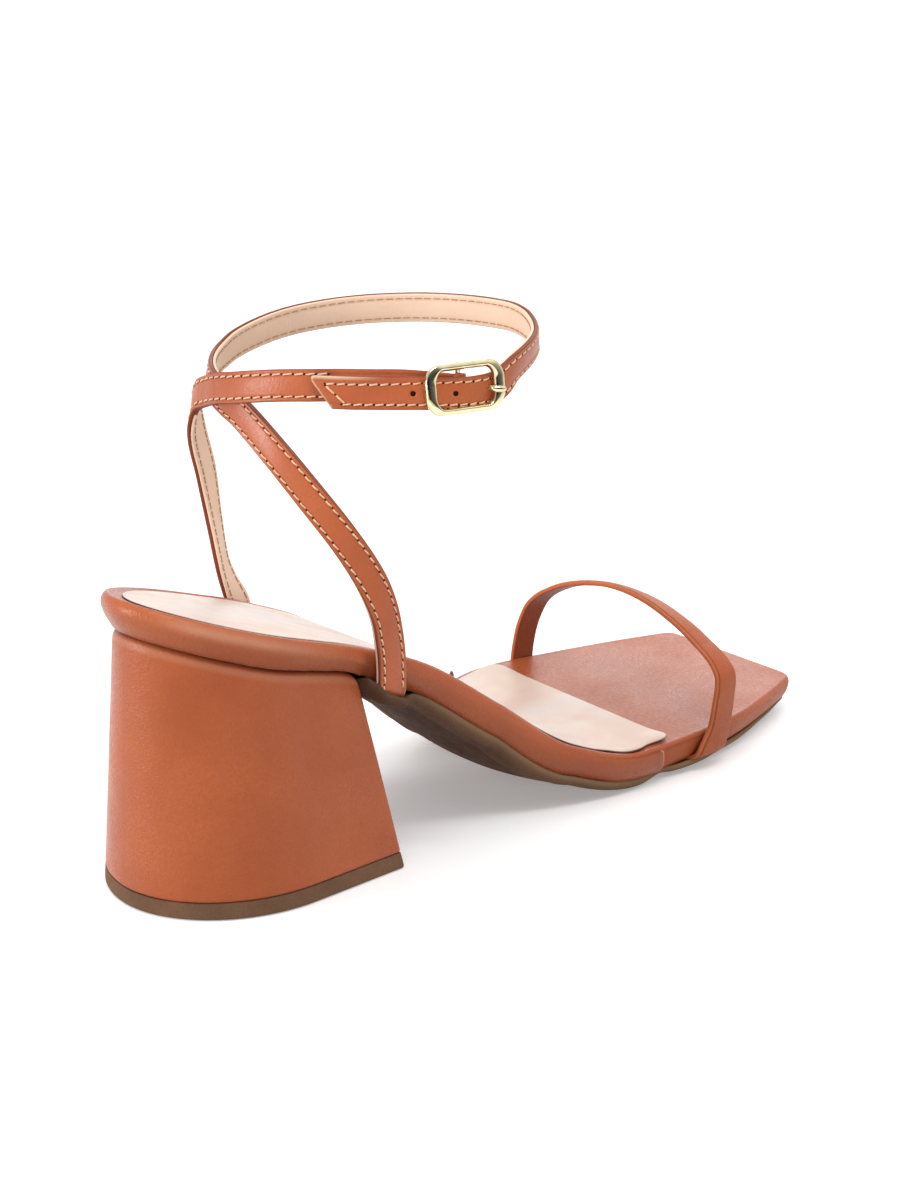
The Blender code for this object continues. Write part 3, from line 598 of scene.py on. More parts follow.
def side_line(side):
    """Plan points of one side, heel centre to the end of the toe corner."""
    column = 1 if side < 0 else 2
    corner, far = (TOE_LATERAL, TOE_MEDIAL) if side < 0 else (TOE_MEDIAL, TOE_LATERAL)
    x = HEEL_RUN * (1 - np.cos(HEEL_TURN) ** (2 / HEEL_POWER))
    y = HEEL_MID + side * HEEL_HALF * np.sin(HEEL_TURN) ** (2 / HEEL_POWER)
    fine = flow([(r[0], r[column], 0.0) for r in SIDES] + [(*corner, 0.0)], 0.5)
    run = np.linspace(HEEL_RUN, corner[0] - TOE_CORNER, SIDE_STEPS)
    line = np.concatenate([np.c_[x, y], np.c_[run, np.interp(run, fine[:, 0], fine[:, 1])]])
    return np.concatenate([line, corner_line(line[-1], corner, far, TOE_CORNER)])


LATERAL, MEDIAL = side_line(-1), side_line(1)
BALL_WIDTH = float(MEDIAL[:, 1].max() - LATERAL[:, 1].min())
print("outline:", 2 * len(LATERAL), "points, ball", round(BALL_WIDTH, 1), "mm")

# %% [markdown]
# Four helpers turn the plan into surfaces: they move the outline in or out, set it on the footbed's slope,
# close it to a ring, or span it from side to side.

# %% Moving the outline and lifting it to its height
COLUMNS = 36
BEFORE_CORNER = 250


def side_at(line, x):
    """Sideways place of a side line at x, read before its toe corner."""
    return np.interp(x, line[:BEFORE_CORNER, 0], line[:BEFORE_CORNER, 1])


def inward(lateral, medial, inset):
    """Both side lines moved in by a length or by a function of x."""
    loop = np.concatenate([lateral, medial[::-1]])
    ahead = np.roll(loop, -1, axis=0) - np.roll(loop, 1, axis=0)
    normal = np.stack([-ahead[:, 1], ahead[:, 0]], axis=1)
    normal /= np.linalg.norm(normal, axis=1)[:, None]
    amount = inset(loop[:, 0]) if callable(inset) else np.full(len(loop), float(inset))
    moved = loop + normal * amount[:, None]
    return moved[:len(lateral)], moved[len(lateral):][::-1]


def on_board(line, drop):
    """Plan points set below the footbed top by a length or a function of x."""
    x = line[:, 0]
    d = drop(x) if callable(drop) else drop
    return np.c_[line, top_height(x) - d * steepness(x)]


def loop_of(lateral, medial, columns=COLUMNS):
    """Closed ring: lateral line forward, across the front, medial line back, across the heel."""
    t = np.linspace(0.0, 1.0, columns + 1)[1:-1, None]
    front = lateral[-1] * (1 - t) + medial[-1] * t
    back = medial[0] * (1 - t) + lateral[0] * t
    return np.concatenate([lateral, front, medial[::-1], back])


def span_of(lateral, medial, columns=COLUMNS):
    """Grid of points from the lateral to the medial line."""
    t = np.linspace(0.0, 1.0, columns + 1)[None, :, None]
    return lateral[:, None] * (1 - t) + medial[:, None] * t


print("each ring has", len(loop_of(LATERAL, MEDIAL)), "points")

# %% [markdown]
# ## Footbed
# The footbed is a board about eight millimetres thick, wrapped in the tan hide. The wrap rolls over the rim
# in a soft bead and draws in below it. Its section is six measured points; the same smooth weights carry
# every one of them along the outline, so the bead stays even all round.

# %% Footbed section
RIM = ((3.2, 0.55), (1.7, 0.0), (0.55, 0.9), (0.0, 3.0))
UNDER = ((0.32, 0.68), (1.0, 1.0))
UNDER_INSET, BOARD = 2.6, 8.0
field_drop = level_curve(((80.0, RIM[0][1]), (125.0, 0.06), (236.0, 0.0)))
toe_share = level_curve(((195.0, 1.0), (235.0, 0.5)))
rim_tight = level_curve(((115.0, 1.0), (155.0, 0.6)))
section = [(*p, 0.0) for p in RIM] + [(i * UNDER_INSET, s * BOARD, 0.0) for i, s in UNDER]
SECTION_STEP = 0.5
WEIGHTS = flow(np.c_[section, np.eye(len(section))], SECTION_STEP)[:, 3:]


def rim_ring(weights):
    """Lateral and medial lines of the footbed at one place of its section."""
    rim, under = weights[:len(RIM)], weights[len(RIM):]
    level = sum(w * p[0] for w, p in zip(rim, RIM))
    sink = sum(w * p[1] for w, p in zip(rim[1:], RIM[1:]))
    draw = sum(w * p[0] for w, p in zip(under, UNDER)) * UNDER_INSET
    deep = sum(w * p[1] for w, p in zip(under, UNDER))
    lines = inward(LATERAL, MEDIAL, lambda x: level * rim_tight(x) + draw * toe_share(x))

    def drop(x):
        return sink * rim_tight(x) + rim[0] * field_drop(x) + deep * board_thick(x)

    return [on_board(line, drop) for line in lines]


RIM_LINES = [rim_ring(w) for w in WEIGHTS]
print("footbed section:", len(WEIGHTS), "rings")

# %% [markdown]
# The wrap is made of two lengths of hide. At the ball the rear one laps over the front one, with a thin pale
# cut edge and a rounded corner, which has lifted on the inner side. Each lap is a thin sheet over the rim. It
# sinks into the surface at its far end. Painted shade darkens its top edge and a thin line just behind the
# cut.

# %% Footbed laps
LAPS = (
    # side line, x of the cut at the rim, its lean toward the bottom, run of the lap, lift of its corner
    (0, 155.4, 3.4, 32.0, 0.15),
    (1, 151.0, 3.0, 22.0, 2.2),
)
LAP_FIRST = (7, 3)
LAP_LIFT, LAP_DIVE, LAP_SINK = 0.6, 0.15, 0.25
LAP_CORNER, LAP_BEVEL, LAP_CUT = 0.5, 0.035, 0.5
# walls of the sunk end, the pale cut and the two long edges; the long edges carry painted shade
LAP_WALLS = ((0, 0.0), (1, 0.0), (0, 0.9), (0, 0.9))
LAP_STEPS = np.concatenate([np.linspace(0.0, 0.9, 24), np.linspace(0.92, 1.0, 9)])


def lap_grid(side, cut, lean, run):
    """Points of one lap, from its sunk end to its cut edge, crest to bottom of the rim."""
    lines = [pair[side] for pair in RIM_LINES[LAP_FIRST[side]:]]
    rows = []
    for t in LAP_STEPS:
        row = []
        for k, line in enumerate(lines):
            share = k / (len(lines) - 1)
            stop = cut + lean * share - LAP_CORNER * (1 - ramp(share, 0.0, 0.15)) ** 2
            x = cut - run + t * (stop - cut + run)
            row.append((x, *(np.interp(x, line[:, 0], line[:, column]) for column in (1, 2))))
        rows.append(row)
    rows = np.array(rows)
    return rows[:, ::-1] if side == 0 else rows


def add_lap(piece, side, cut, lean, run, corner):
    """One lap on the footbed: it rises out of the wrap, ends in a bevelled cut and lifts a corner."""
    grid = lap_grid(side, cut, lean, run)
    t = LAP_STEPS[:, None]
    below = np.linspace(0.0, 1.0, grid.shape[1])[None, :]
    below = 1 - below if side == 0 else below
    rise = ramp(t, 0.1, 0.75)
    ear = corner * ramp(t, 0.8, 0.98) * (1 - ramp(below, 0.0, 0.3))
    lift = LAP_LIFT * rise - LAP_DIVE * (1 - rise) + ear - LAP_CUT * ramp(t, 1 - LAP_BEVEL, 1.0)
    finish = np.where(t > 1 - LAP_BEVEL, 1, 0) * np.ones(grid.shape[1], int)
    # painted shade under the lap's top edge and in a thin line just behind the cut
    top_edge_shade = 0.8 * bell(below, 0.0, 0.06) * ramp(t, 0.5, 0.8)
    cut_shade = 0.4 * bell(t, 1 - 2.2 * LAP_BEVEL, 0.02)
    piece.sheet(grid, lift, LAP_SINK - ear * 0.6, finish, LAP_WALLS, top_edge_shade + cut_shade)


print("laps at", [lap[1] for lap in LAPS], "mm from the heel")

# %% [markdown]
# The wrap is then painted by place. Painted shade lies along the insock's edge, lightly over the lower half
# of the wall and darker at its foot, beside the tucked ankle strap as its shadow, and in the crease between
# the lap and the toe band. A painted highlight lies in a streak along the rim at the heel.

# %% Footbed paint and body
STRAP_TUCK, STRAP_TUCK_HALF = 55.6, 1.7
CREASE_RING, CREASE_FROM, CREASE_TO = 8.0, (154.0, 158.0), (176.0, 182.0)
STREAK_RING, STREAK_FROM, STREAK_TO, STREAK_ROUND = 8.5, (1.0, 10.0), (20.0, 52.0), (-5.0, 12.0)
INSOCK_FADE = (120.0, 160.0)


def footbed_paint(rings):
    """Painted shade, painted highlight and finish of every point of the wrap."""
    x, y = rings[..., 0], rings[..., 1]
    outer = y < 0
    ring = np.arange(len(rings))[:, None]
    last = len(rings) - 1
    # painted shade along the insock's edge, over the lower wall, and in the seam at its foot
    dark = 0.3 * (1 - ramp(ring, 1, 5)) * (1 - ramp(x, *INSOCK_FADE))
    dark = dark + 0.05 * ramp(ring, 0.45 * last, 0.8 * last) + 0.6 * ramp(ring, last - 3, last)
    # painted shadow of the tucked ankle strap
    tucked = 0.75 * bell(x, STRAP_TUCK, STRAP_TUCK_HALF) * outer * ramp(ring, 4, 8)
    # painted shade of a crease between the lap and the toe band
    crease = ramp(x, *CREASE_FROM) * (1 - ramp(x, *CREASE_TO)) * outer
    dark = np.maximum(dark, 0.8 * bell(ring, CREASE_RING, 1.5) * crease)
    # painted highlight: a streak along the rim at the heel
    streak = ramp(x, *STREAK_FROM) * (1 - ramp(x, *STREAK_TO)) * ramp(-y, *STREAK_ROUND)
    pale = 0.2 * bell(ring, STREAK_RING, 2.6) * streak
    dull = np.where((x > LAPS[0][1]) & outer & (ring > LAP_FIRST[0]), 2, 0)
    return np.maximum(dark, tucked), pale, dull


def make_footbed():
    piece = Piece("footbed_wrap", TAN, RAW, BAND)
    rings = np.stack([loop_of(*pair) for pair in RIM_LINES])
    dark, pale, finish = footbed_paint(rings)
    piece.grid(rings, around=True, finish=finish, shade=dark, pale=pale)
    piece.grid(span_of(*RIM_LINES[0]))
    piece.grid(span_of(*RIM_LINES[-1]))
    for lap in LAPS:
        add_lap(piece, *lap)
    return piece.make()


dress(make_footbed(), "tan_leather", "footbed")

# %% [markdown]
# ## Insock
# The insock covers the board from the heel to the ball and ends in a straight, slightly slanted cut. It is a
# sheet with a thin dark edge: its own dark cut edge, with painted shade where it meets the board. Near the
# ball its outer edge waves and the front corner stands off the board, because the glue has let go there.

# %% Insock
INSOCK_INSET = level_curve(((0.0, 5.4), (22.0, 4.3), (60.0, 3.5), (130.0, 2.4)))
INSOCK_FRONT, INSOCK_CORNER = (162.0, 168.5), 4.0
INSOCK_LEVEL, INSOCK_POINTS = 0.05, 260
INSOCK_RINGS = (
    # inset, height above the board, darkness of the edge with its painted shade
    (0.0, 0.0, 0.95),
    (-0.05, 0.12, 0.9),
    (0.0, 0.28, 0.7),
    (0.2, 0.4, 0.08),
)
INSOCK_EDGE = (
    # x, how far the outer edge wanders in, reach
    (153.5, 0.9, 3.0),
    (146.0, -0.5, 4.0),
    (137.0, 0.4, 5.0),
)
INSOCK_WAVES = (
    # x, y, lift, reach
    (160.0, -34.0, 0.9, 5.0),
    (148.0, -35.5, 0.45, 4.5),
    (137.0, -34.5, 0.25, 4.0),
    (120.0, -32.0, 0.3, 7.0),
    (165.0, 36.0, 0.5, 7.0),
)


def even(line, count):
    """The same line with evenly spaced points."""
    s = np.concatenate([[0.0], np.cumsum(np.linalg.norm(np.diff(line, axis=0), axis=1))])
    q = np.linspace(0.0, s[-1], count)
    return np.stack([np.interp(q, s, line[:, c]) for c in range(line.shape[1])], axis=1)


def insock_line(line, front, far):
    """One side of the insock, with its rounded front corner."""
    stop = front - INSOCK_CORNER
    kept = line[line[:, 0] < stop]
    last = (stop, float(side_at(line, stop)))
    line = np.concatenate([kept, [last]])
    if last[1] < 0:
        line[:, 1] += sum(deep * bell(line[:, 0], x, reach) for x, deep, reach in INSOCK_EDGE)
    return np.concatenate([line, corner_line(last, (front, last[1]), far, INSOCK_CORNER)])


def lifted(points):
    """The same points, raised where the sheet stands off the board."""
    for x, y, lift, reach in INSOCK_WAVES:
        away = np.hypot(points[..., 0] - x, points[..., 1] - y)
        points[..., 2] += lift * np.exp(-(away / reach) ** 2)
    return points


def make_insock():
    lateral, medial = inward(LATERAL, MEDIAL, INSOCK_INSET)
    ends = [(x, float(side_at(line, x))) for x, line in zip(INSOCK_FRONT, (lateral, medial))]
    lines = []
    for line, front, far in zip((lateral, medial), INSOCK_FRONT, ends[::-1]):
        lines.append(even(insock_line(line, front, far), INSOCK_POINTS))
    piece = Piece("insock_sheet", CREAM)
    rings, spans, darks = [], [], []
    for inset, height, dark in INSOCK_RINGS:
        moved = [on_board(line, lambda x: field_drop(x) - INSOCK_LEVEL - height)
                 for line in inward(*lines, inset)]
        rings.append(lifted(loop_of(*moved)))
        spans.append(lifted(span_of(*moved)))
        darks.append(dark)
    # the edge rings carry the dark cut edge and painted shade where the sheet meets the board
    piece.grid(np.stack(rings), around=True, shade=np.array(darks)[:, None])
    piece.grid(spans[0], shade=darks[0])
    shade = np.zeros(spans[-1].shape[:2])
    shade[[0, -1]] = shade[:, [0, -1]] = darks[-1]
    piece.grid(spans[-1], shade=shade)
    return piece.make()


dress(make_insock(), "cream_leather", "insock")

# %% [markdown]
# ## Outsole
# The rubber sole starts at the heel's breast, bellies down under the waist and lies flat under the ball. Its
# edge is a rounded lip. Where a strap is tucked in, the lip swells out round it like a saddle and leaves a
# slot behind. Underneath, the waist is a smooth sunk panel inside a border, and the forefoot has cross ribs.

# %% Outsole sizes
SOLE_START, SOLE_GAP = 55.0, 0.12
SOLE_THICK = ((56.0, 2.9), (148.0, 2.9), (164.0, 2.3), (190.0, 2.2), (215.0, 1.8), (236.0, 1.4))
SOLE_BELLY = ((56.0, 0.3), (75.0, 1.8), (96.0, 2.7), (108.0, 3.2), (120.0, 2.8), (142.0, 0.0))
BELLY_RUN = 4.0
sole_thick, sole_belly = level_curve(SOLE_THICK), level_curve(SOLE_BELLY)
LIP = (
    # x, swelling outward, swelling down, rise of the lip
    (55.0, 2.2, 0.3, 0.3),
    (56.5, 4.8, 0.6, 0.1),
    (58.5, 5.8, 0.9, -0.9),
    (61.0, 5.9, 0.9, -1.3),
    (64.5, 5.4, 0.9, -1.5),
    (67.6, 3.0, 0.5, -1.3),
    (69.5, 1.8, 0.2, -0.7),
    (71.5, 1.3, 0.0, -0.1),
    (80.0, 0.2, 0.0, 0.1),
    (95.0, 0.0, 0.0, 0.1),
    (150.0, 0.0, 0.0, 0.0),
    (158.5, -0.7, -0.5, 0.3),
    (163.0, 0.2, 0.0, 0.2),
    (168.0, 1.1, 0.1, 0.4),
    (173.0, 1.4, 0.1, 0.5),
    (180.0, 0.5, 0.0, 0.1),
    (186.0, 0.0, 0.0, 0.0),
    (236.0, 0.0, 0.0, 0.0),
)
lip_out, lip_down, lip_rise = (level_curve(LIP, column) for column in (1, 2, 3))
SOLE_RINGS = (
    # inset from the footbed, then shares of the swelling, the thickness and the lip's rise, and painted
    # highlight
    (3.4, 0.0, 0.30, 0.5, 0.0),
    (2.7, 0.75, 0.05, 0.95, 0.15),
    (2.2, 1.0, -0.03, 1.0, 0.5),
    (1.75, 1.0, 0.10, 0.95, 0.75),
    (1.6, 1.0, 0.32, 0.85, 0.6),
    (1.9, 1.0, 0.60, 0.75, 0.4),
    (2.7, 0.9, 0.85, 0.65, 0.25),
    (3.9, 0.8, 0.98, 0.55, 0.1),
    (5.0, 0.7, 1.0, 0.5, 0.0),
)
BORDER, BORDER_SOFT = 0.10, 0.035
PANEL_SINK, PANEL_ENDS = 0.7, (66.0, 116.0)
RIB_ENDS, RIB_PITCH, RIB_DEEP, RIB_SIDES = (134.0, 224.0), 4.2, 0.55, (0.45, 0.85)
FIELD_SOFT = 2.0
HEEL_SHADOW = (62.0, 84.0)
SOLE_POINTS, SOLE_COLUMNS = 330, 60


def sole_lines(inset, swell, share, rise):
    """Lateral and medial lines of one ring of the sole's edge."""
    def drop(x):
        return board_thick(x) + SOLE_GAP + share * (sole_thick(x) + lip_down(x)) - rise * lip_rise(x)

    lines = []
    for line in inward(LATERAL, MEDIAL, lambda x: inset - swell * lip_out(x)):
        first = int(np.argmax(line[:, 0] > SOLE_START))
        y = float(np.interp(SOLE_START, line[first - 1:first + 1, 0], line[first - 1:first + 1, 1]))
        kept = even(np.concatenate([[(SOLE_START, y)], line[first:]]), SOLE_POINTS)
        lines.append(on_board(kept, drop))
    return lines


print("sole lip swells", max(row[1] for row in LIP), "mm round the ankle strap")

# %% [markdown]
# The edge is a stack of rings, the top and the bottom are grids between its side lines. The bottom's grid is
# fine enough to press belly, panel and ribs straight into its heights; the sunk panel and the rib grooves are
# also painted darker, as painted shade. The lip carries a painted highlight, which fades under the heel,
# where painted shade takes its place.

# %% Outsole body
def field(x, start, stop):
    """One between start and stop, nought outside, with soft ends."""
    return ramp(x, start, start + FIELD_SOFT) * (1 - ramp(x, stop, stop + FIELD_SOFT))


def underside(rows):
    """Belly, sunk waist panel and forefoot ribs, pressed into the grid of the sole's bottom; painted shade in
    its hollows.
    """
    t = np.linspace(0.0, 1.0, rows.shape[1])[None, :]
    x = rows[..., 0]
    rows[..., 2] -= sole_belly(x) * ramp(x, SOLE_START, SOLE_START + BELLY_RUN) * 4 * t * (1 - t)
    inner = ramp(np.minimum(t, 1 - t), BORDER, BORDER + BORDER_SOFT)
    waist = field(x, *PANEL_ENDS)
    rows[..., 2] += PANEL_SINK * inner * waist
    forefoot = field(x, *RIB_ENDS)
    groove = ramp(np.cos(2 * math.pi * x / RIB_PITCH), *RIB_SIDES)
    rows[..., 2] += RIB_DEEP * inner * forefoot * groove
    # the sunk panel and the rib grooves are painted darker: painted shade
    return rows, 0.5 * inner * waist + 0.4 * inner * forefoot * groove


def make_sole():
    lines = [sole_lines(*ring[:4]) for ring in SOLE_RINGS]
    paler = np.array([ring[4] for ring in SOLE_RINGS])[:, None]
    piece = Piece("sole", RUBBER)
    wall = np.stack([loop_of(*pair, SOLE_COLUMNS) for pair in lines])
    # where the heel shades the lip, its painted highlight fades and painted shade takes its place
    in_heel_shadow = 1 - ramp(wall[..., 0], *HEEL_SHADOW)
    piece.grid(wall, around=True, pale=paler * (1 - 0.8 * in_heel_shadow), shade=0.4 * in_heel_shadow)
    piece.grid(span_of(*lines[0], SOLE_COLUMNS))
    rows, dark = underside(span_of(*lines[-1], SOLE_COLUMNS))
    piece.grid(rows, shade=dark)
    return piece.make()


dress(make_sole(), "brown_rubber", "outsole")

# %% [markdown]
# ## Heel and lift
# The heel is a plastic block covered in the tan hide. It flares from the seat down to the floor, round at
# the back and flat at the breast. Its wall is ruled: each point of the base is joined to one of the seat. A
# few extra rings round the shoulder under the footbed and the fold of the leather above the rubber lift.

# %% Heel lines
LIFT = 4.3
BASE_BACK, BASE_ROUND, BASE_MEDIAL = 1.2, 36.0, 31.0
SEAT_FRONT, HEEL_CORNER, SEAT_GAP = 54.6, 1.6, 0.4
HEEL_SIDE_STEPS = 16


def with_corner(line, front):
    """A side line of the heel, finished with the rounded corner at the breast."""
    turn = corner_line(line[-1], (front, line[-1][1]), (front, 0), HEEL_CORNER)
    return np.concatenate([line, turn])


def heel_pairs():
    """Matching base and seat lines, lateral then medial, from the back to the breast."""
    pairs = []
    lines = inward(LATERAL, MEDIAL, UNDER_INSET)
    for side, line, half in ((-1, lines[0], LIFT_LATERAL), (1, lines[1], BASE_MEDIAL)):
        f = np.linspace(0.0, 1.0, HEEL_SIDE_STEPS)
        bend = BASE_BACK + BASE_ROUND * (1 - np.cos(HEEL_TURN))
        side_run = BASE_BACK + BASE_ROUND + f * (LIFT_FRONT - HEEL_CORNER - BASE_BACK - BASE_ROUND)
        y = side * half * np.concatenate([np.sin(HEEL_TURN), np.ones(HEEL_SIDE_STEPS)])
        base = with_corner(np.c_[np.concatenate([bend, side_run]), y], LIFT_FRONT)
        run = HEEL_RUN + f * (SEAT_FRONT - HEEL_CORNER - HEEL_RUN)
        seat = with_corner(np.concatenate([line[:HEEL_STEPS], np.c_[run, side_at(line, run)]]), SEAT_FRONT)
        seat = on_board(seat, lambda q: board_thick(q) + SEAT_GAP)
        pairs.append((np.c_[base, np.zeros(len(base))], seat))
    return pairs


HEEL_PAIRS = heel_pairs()


def heel_ring(height=None, below=None, inset=0.0):
    """Ring of the heel at a height above the floor or a depth below the seat, drawn in a little."""
    lines = []
    for base, seat in HEEL_PAIRS:
        level = np.full(len(seat), height) if below is None else seat[:, 2] - below
        share = (level / seat[:, 2])[:, None]
        lines.append(base * (1 - share) + seat * share)
    flat = inward(lines[0][:, :2], lines[1][:, :2], inset)
    return [np.c_[plan, line[:, 2]] for plan, line in zip(flat, lines)]


print("heel line:", len(HEEL_PAIRS[0][0]), "points a side")

# %% [markdown]
# The cover and the lift are two stacks of such rings, closed at both ends. The tables say how far a ring is
# drawn in at its height, which rounds the edges as pulled leather and trimmed rubber are rounded.

# %% Heel body and lift
FOLD_START = LIFT + 0.05
FOLD_RINGS = (
    # height above the start of the fold, inset
    (0.0, 0.7),
    (0.12, 0.3),
    (0.4, 0.06),
    (0.9, 0.0),
)
SHOULDER_RINGS = (
    # depth below the seat, inset
    (3.2, 0.0),
    (2.1, 0.08),
    (1.3, 0.28),
    (0.7, 0.62),
    (0.25, 1.15),
    (0.0, 1.9),
)
LIFT_RINGS = (
    # height, inset, how much paler
    (0.0, 0.5, 0.3),
    (0.12, 0.2, 0.4),
    (0.45, 0.02, 0.35),
    (1.2, 0.0, 0.25),
    (3.4, 0.0, 0.2),
    (4.0, 0.06, 0.1),
    (4.25, 0.3, 0.0),
)
HEEL_LEVELS, HEEL_ENDS = 26, (0.03, 0.97)


def stacked(name, rings, finish, **tones):
    """Body from rings of the heel, closed at the top and the bottom."""
    piece = Piece(name, finish)
    piece.grid(np.stack([loop_of(*pair) for pair in rings]), around=True, **tones)
    for pair in (rings[0], rings[-1]):
        piece.grid(span_of(*pair))
    return piece.make()


def make_heel():
    rings = [heel_ring(height=FOLD_START + h, inset=i) for h, i in FOLD_RINGS]
    low, high = heel_ring(height=FOLD_START + FOLD_RINGS[-1][0]), heel_ring(below=SHOULDER_RINGS[0][0])
    for w in np.linspace(*HEEL_ENDS, HEEL_LEVELS):
        rings.append([a * (1 - w) + b * w for a, b in zip(low, high)])
    rings += [heel_ring(below=b, inset=i) for b, i in SHOULDER_RINGS]
    # painted shade in the fold above the lift and in the seam under the footbed, and a painted highlight on
    # the shoulder just below that seam
    dark, light = np.zeros((len(rings), 1)), np.zeros((len(rings), 1))
    dark[:2, 0] = 0.6, 0.3
    dark[-3:, 0] = 0.35, 0.9, 1.0
    light[-5:-3, 0] = 0.08, 0.10
    return stacked("heel_cover", rings, TAN, shade=dark, pale=light)


def make_lift():
    rings = [heel_ring(height=h, inset=i) for h, i, _ in LIFT_RINGS]
    # the lift is paler towards its bottom
    paler = np.array([row[2] for row in LIFT_RINGS])[:, None]
    return stacked("heel_lift", rings, RUBBER, pale=paler)


dress(make_heel(), "tan_leather", "heel")
dress(make_lift(), "brown_rubber", "heel_top_piece")

# %% [markdown]
# ## Strap paths
# A strap is a flat profile carried along a path, and at each station the path also says which way the
# strap's outer face looks. The toe band and the two legs are measured station by station. Round the ankle
# both straps follow one oval, so there a table of angle, height, offset and lean is enough.

# %% Path tables
TOE_BAND = (
    # x, y, z, then the facing of the outer side
    (177.0, -28.5, 4.2, -0.02, 0.0, -1.0),
    (177.0, -33.0, 4.2, -0.02, 0.0, -1.0),
    (177.0, -36.2, 4.4, 0.0, -0.25, -1.0),
    (177.0, -38.1, 5.7, 0.0, -0.8, -0.6),
    (177.1, -38.8, 8.6, 0.0, -1.0, -0.12),
    (177.2, -39.7, 15.0, 0.0, -1.0, -0.05),
    (177.2, -40.4, 22.0, 0.05, -1.0, 0.08),
    (177.25, -40.6, 25.8, 0.07, -0.98, 0.18),
    (177.3, -40.0, 28.3, 0.12, -0.88, 0.48),
    (177.35, -37.6, 31.0, 0.18, -0.7, 0.7),
    (177.4, -33.2, 33.9, 0.22, -0.6, 0.78),
    (177.5, -23.8, 38.5, 0.28, -0.4, 0.9),
    (177.9, -12.0, 42.0, 0.32, -0.2, 0.94),
    (178.4, 0.0, 42.9, 0.32, 0.02, 0.94),
    (179.0, 12.0, 41.2, 0.22, 0.25, 0.94),
    (179.5, 22.8, 37.6, 0.12, 0.45, 0.88),
    (180.0, 32.4, 31.3, 0.06, 0.7, 0.7),
    (180.4, 37.0, 23.6, 0.03, 0.93, 0.35),
    (180.7, 39.3, 15.6, 0.0, 1.0, 0.1),
    (180.8, 40.0, 8.8, 0.0, 1.0, -0.12),
    (180.8, 39.3, 5.7, 0.0, 0.8, -0.6),
    (180.8, 37.4, 4.4, 0.0, 0.25, -1.0),
    (180.8, 34.2, 4.2, -0.02, 0.0, -1.0),
    (180.8, 29.7, 4.2, -0.02, 0.0, -1.0),
)
LATERAL_LEG = (
    (61.3, -18.0, 46.8, -0.37, 0.0, -0.93),
    (61.3, -22.5, 46.8, -0.37, 0.0, -0.93),
    (61.3, -25.7, 46.8, -0.35, -0.1, -0.93),
    (61.3, -27.9, 47.7, -0.22, -0.7, -0.68),
    (61.3, -28.7, 49.8, -0.05, -1.0, -0.05),
    (61.1, -28.8, 56.0, 0.0, -1.0, 0.0),
    (60.3, -28.8, 62.0, 0.0, -1.0, 0.0),
    (58.4, -28.7, 69.8, -0.05, -1.0, 0.0),
    (55.0, -27.6, 78.1, -0.3, -0.95, 0.0),
    (49.7, -24.5, 88.1, -0.6, -0.8, 0.0),
    (44.3, -18.1, 98.6, -0.83, -0.55, 0.05),
    (40.7, -9.6, 108.0, -0.95, -0.3, 0.1),
)
MEDIAL_LEG = (
    (59.5, 16.5, 48.5, -0.36, 0.0, -0.93),
    (59.5, 21.0, 48.5, -0.36, 0.0, -0.93),
    (59.5, 24.2, 48.5, -0.34, 0.1, -0.93),
    (59.5, 26.3, 49.4, -0.22, 0.7, -0.68),
    (59.4, 27.1, 51.5, -0.05, 1.0, -0.05),
    (59.1, 27.4, 57.0, -0.25, 0.97, 0.0),
    (56.5, 27.9, 63.0, -0.5, 0.87, 0.0),
    (54.4, 28.2, 69.0, -0.6, 0.8, 0.0),
    (51.8, 28.0, 81.0, -0.54, 0.84, 0.0),
    (48.2, 26.6, 95.0, -0.38, 0.92, 0.0),
    (43.5, 24.4, 107.5, -0.47, 0.88, 0.05),
)
LATERAL_LOOP = (
    # angle, height, offset outward from the oval, lean of the outer side
    (222.0, 115.8, -1.0, 8.0),
    (210.0, 118.4, -0.9, 8.0),
    (195.0, 120.4, -1.0, 8.0),
    (180.0, 121.7, -1.2, 8.0),
    (165.0, 123.0, -0.9, 8.0),
    (150.0, 125.2, -0.3, 8.0),
    (120.0, 129.4, 0.0, 8.0),
    (90.0, 131.8, 0.0, 8.0),
    (60.0, 133.0, 0.0, 8.0),
    (30.0, 133.4, 0.0, 8.0),
    (10.0, 132.3, 0.0, 8.0),
    (-4.0, 131.2, 0.2, 2.0),
    (-17.0, 130.0, 0.5, -9.0),
    (-30.0, 128.2, 1.2, -11.0),
    (-37.0, 126.4, 1.8, -4.0),
    (-44.0, 124.4, 2.4, 3.0),
    (-56.0, 124.1, 3.5, 8.0),
    (-69.0, 124.5, 2.6, 8.0),
    (-84.0, 124.7, 2.5, 8.0),
    (-103.0, 124.6, 2.5, 8.0),
)
MEDIAL_LOOP = (
    (190.0, 116.0, 2.4, 8.0),
    (200.0, 119.0, 1.0, 8.0),
    (210.0, 120.9, 0.6, 8.0),
    (225.0, 122.8, 0.6, 8.0),
    (240.0, 124.6, 0.3, 8.0),
    (270.0, 126.0, 0.0, 8.0),
    (285.0, 125.9, 0.0, 8.0),
    (293.0, 125.2, 0.0, 8.0),
    (304.0, 123.9, -0.3, 8.0),
)
LOOP_CENTRE, LOOP_HALF, LOOP_TURN = (75.0, -4.7), (40.3, 33.0), -45.5
print("path rows:", [len(table) for table in (TOE_BAND, LATERAL_LEG, LATERAL_LOOP, MEDIAL_LEG, MEDIAL_LOOP)])

# %% [markdown]
# A curve object with a bevel would twist where the strap turns over, because its own tilt decides the
# facing. The class below keeps the measured facing at every station, squares it to the path, and lays any
# profile on the three directions that it gets.

# %% Paths
PATH_STEP = 0.5
LEG_FLARE, LEG_FLARE_END = 0.15, 55.0


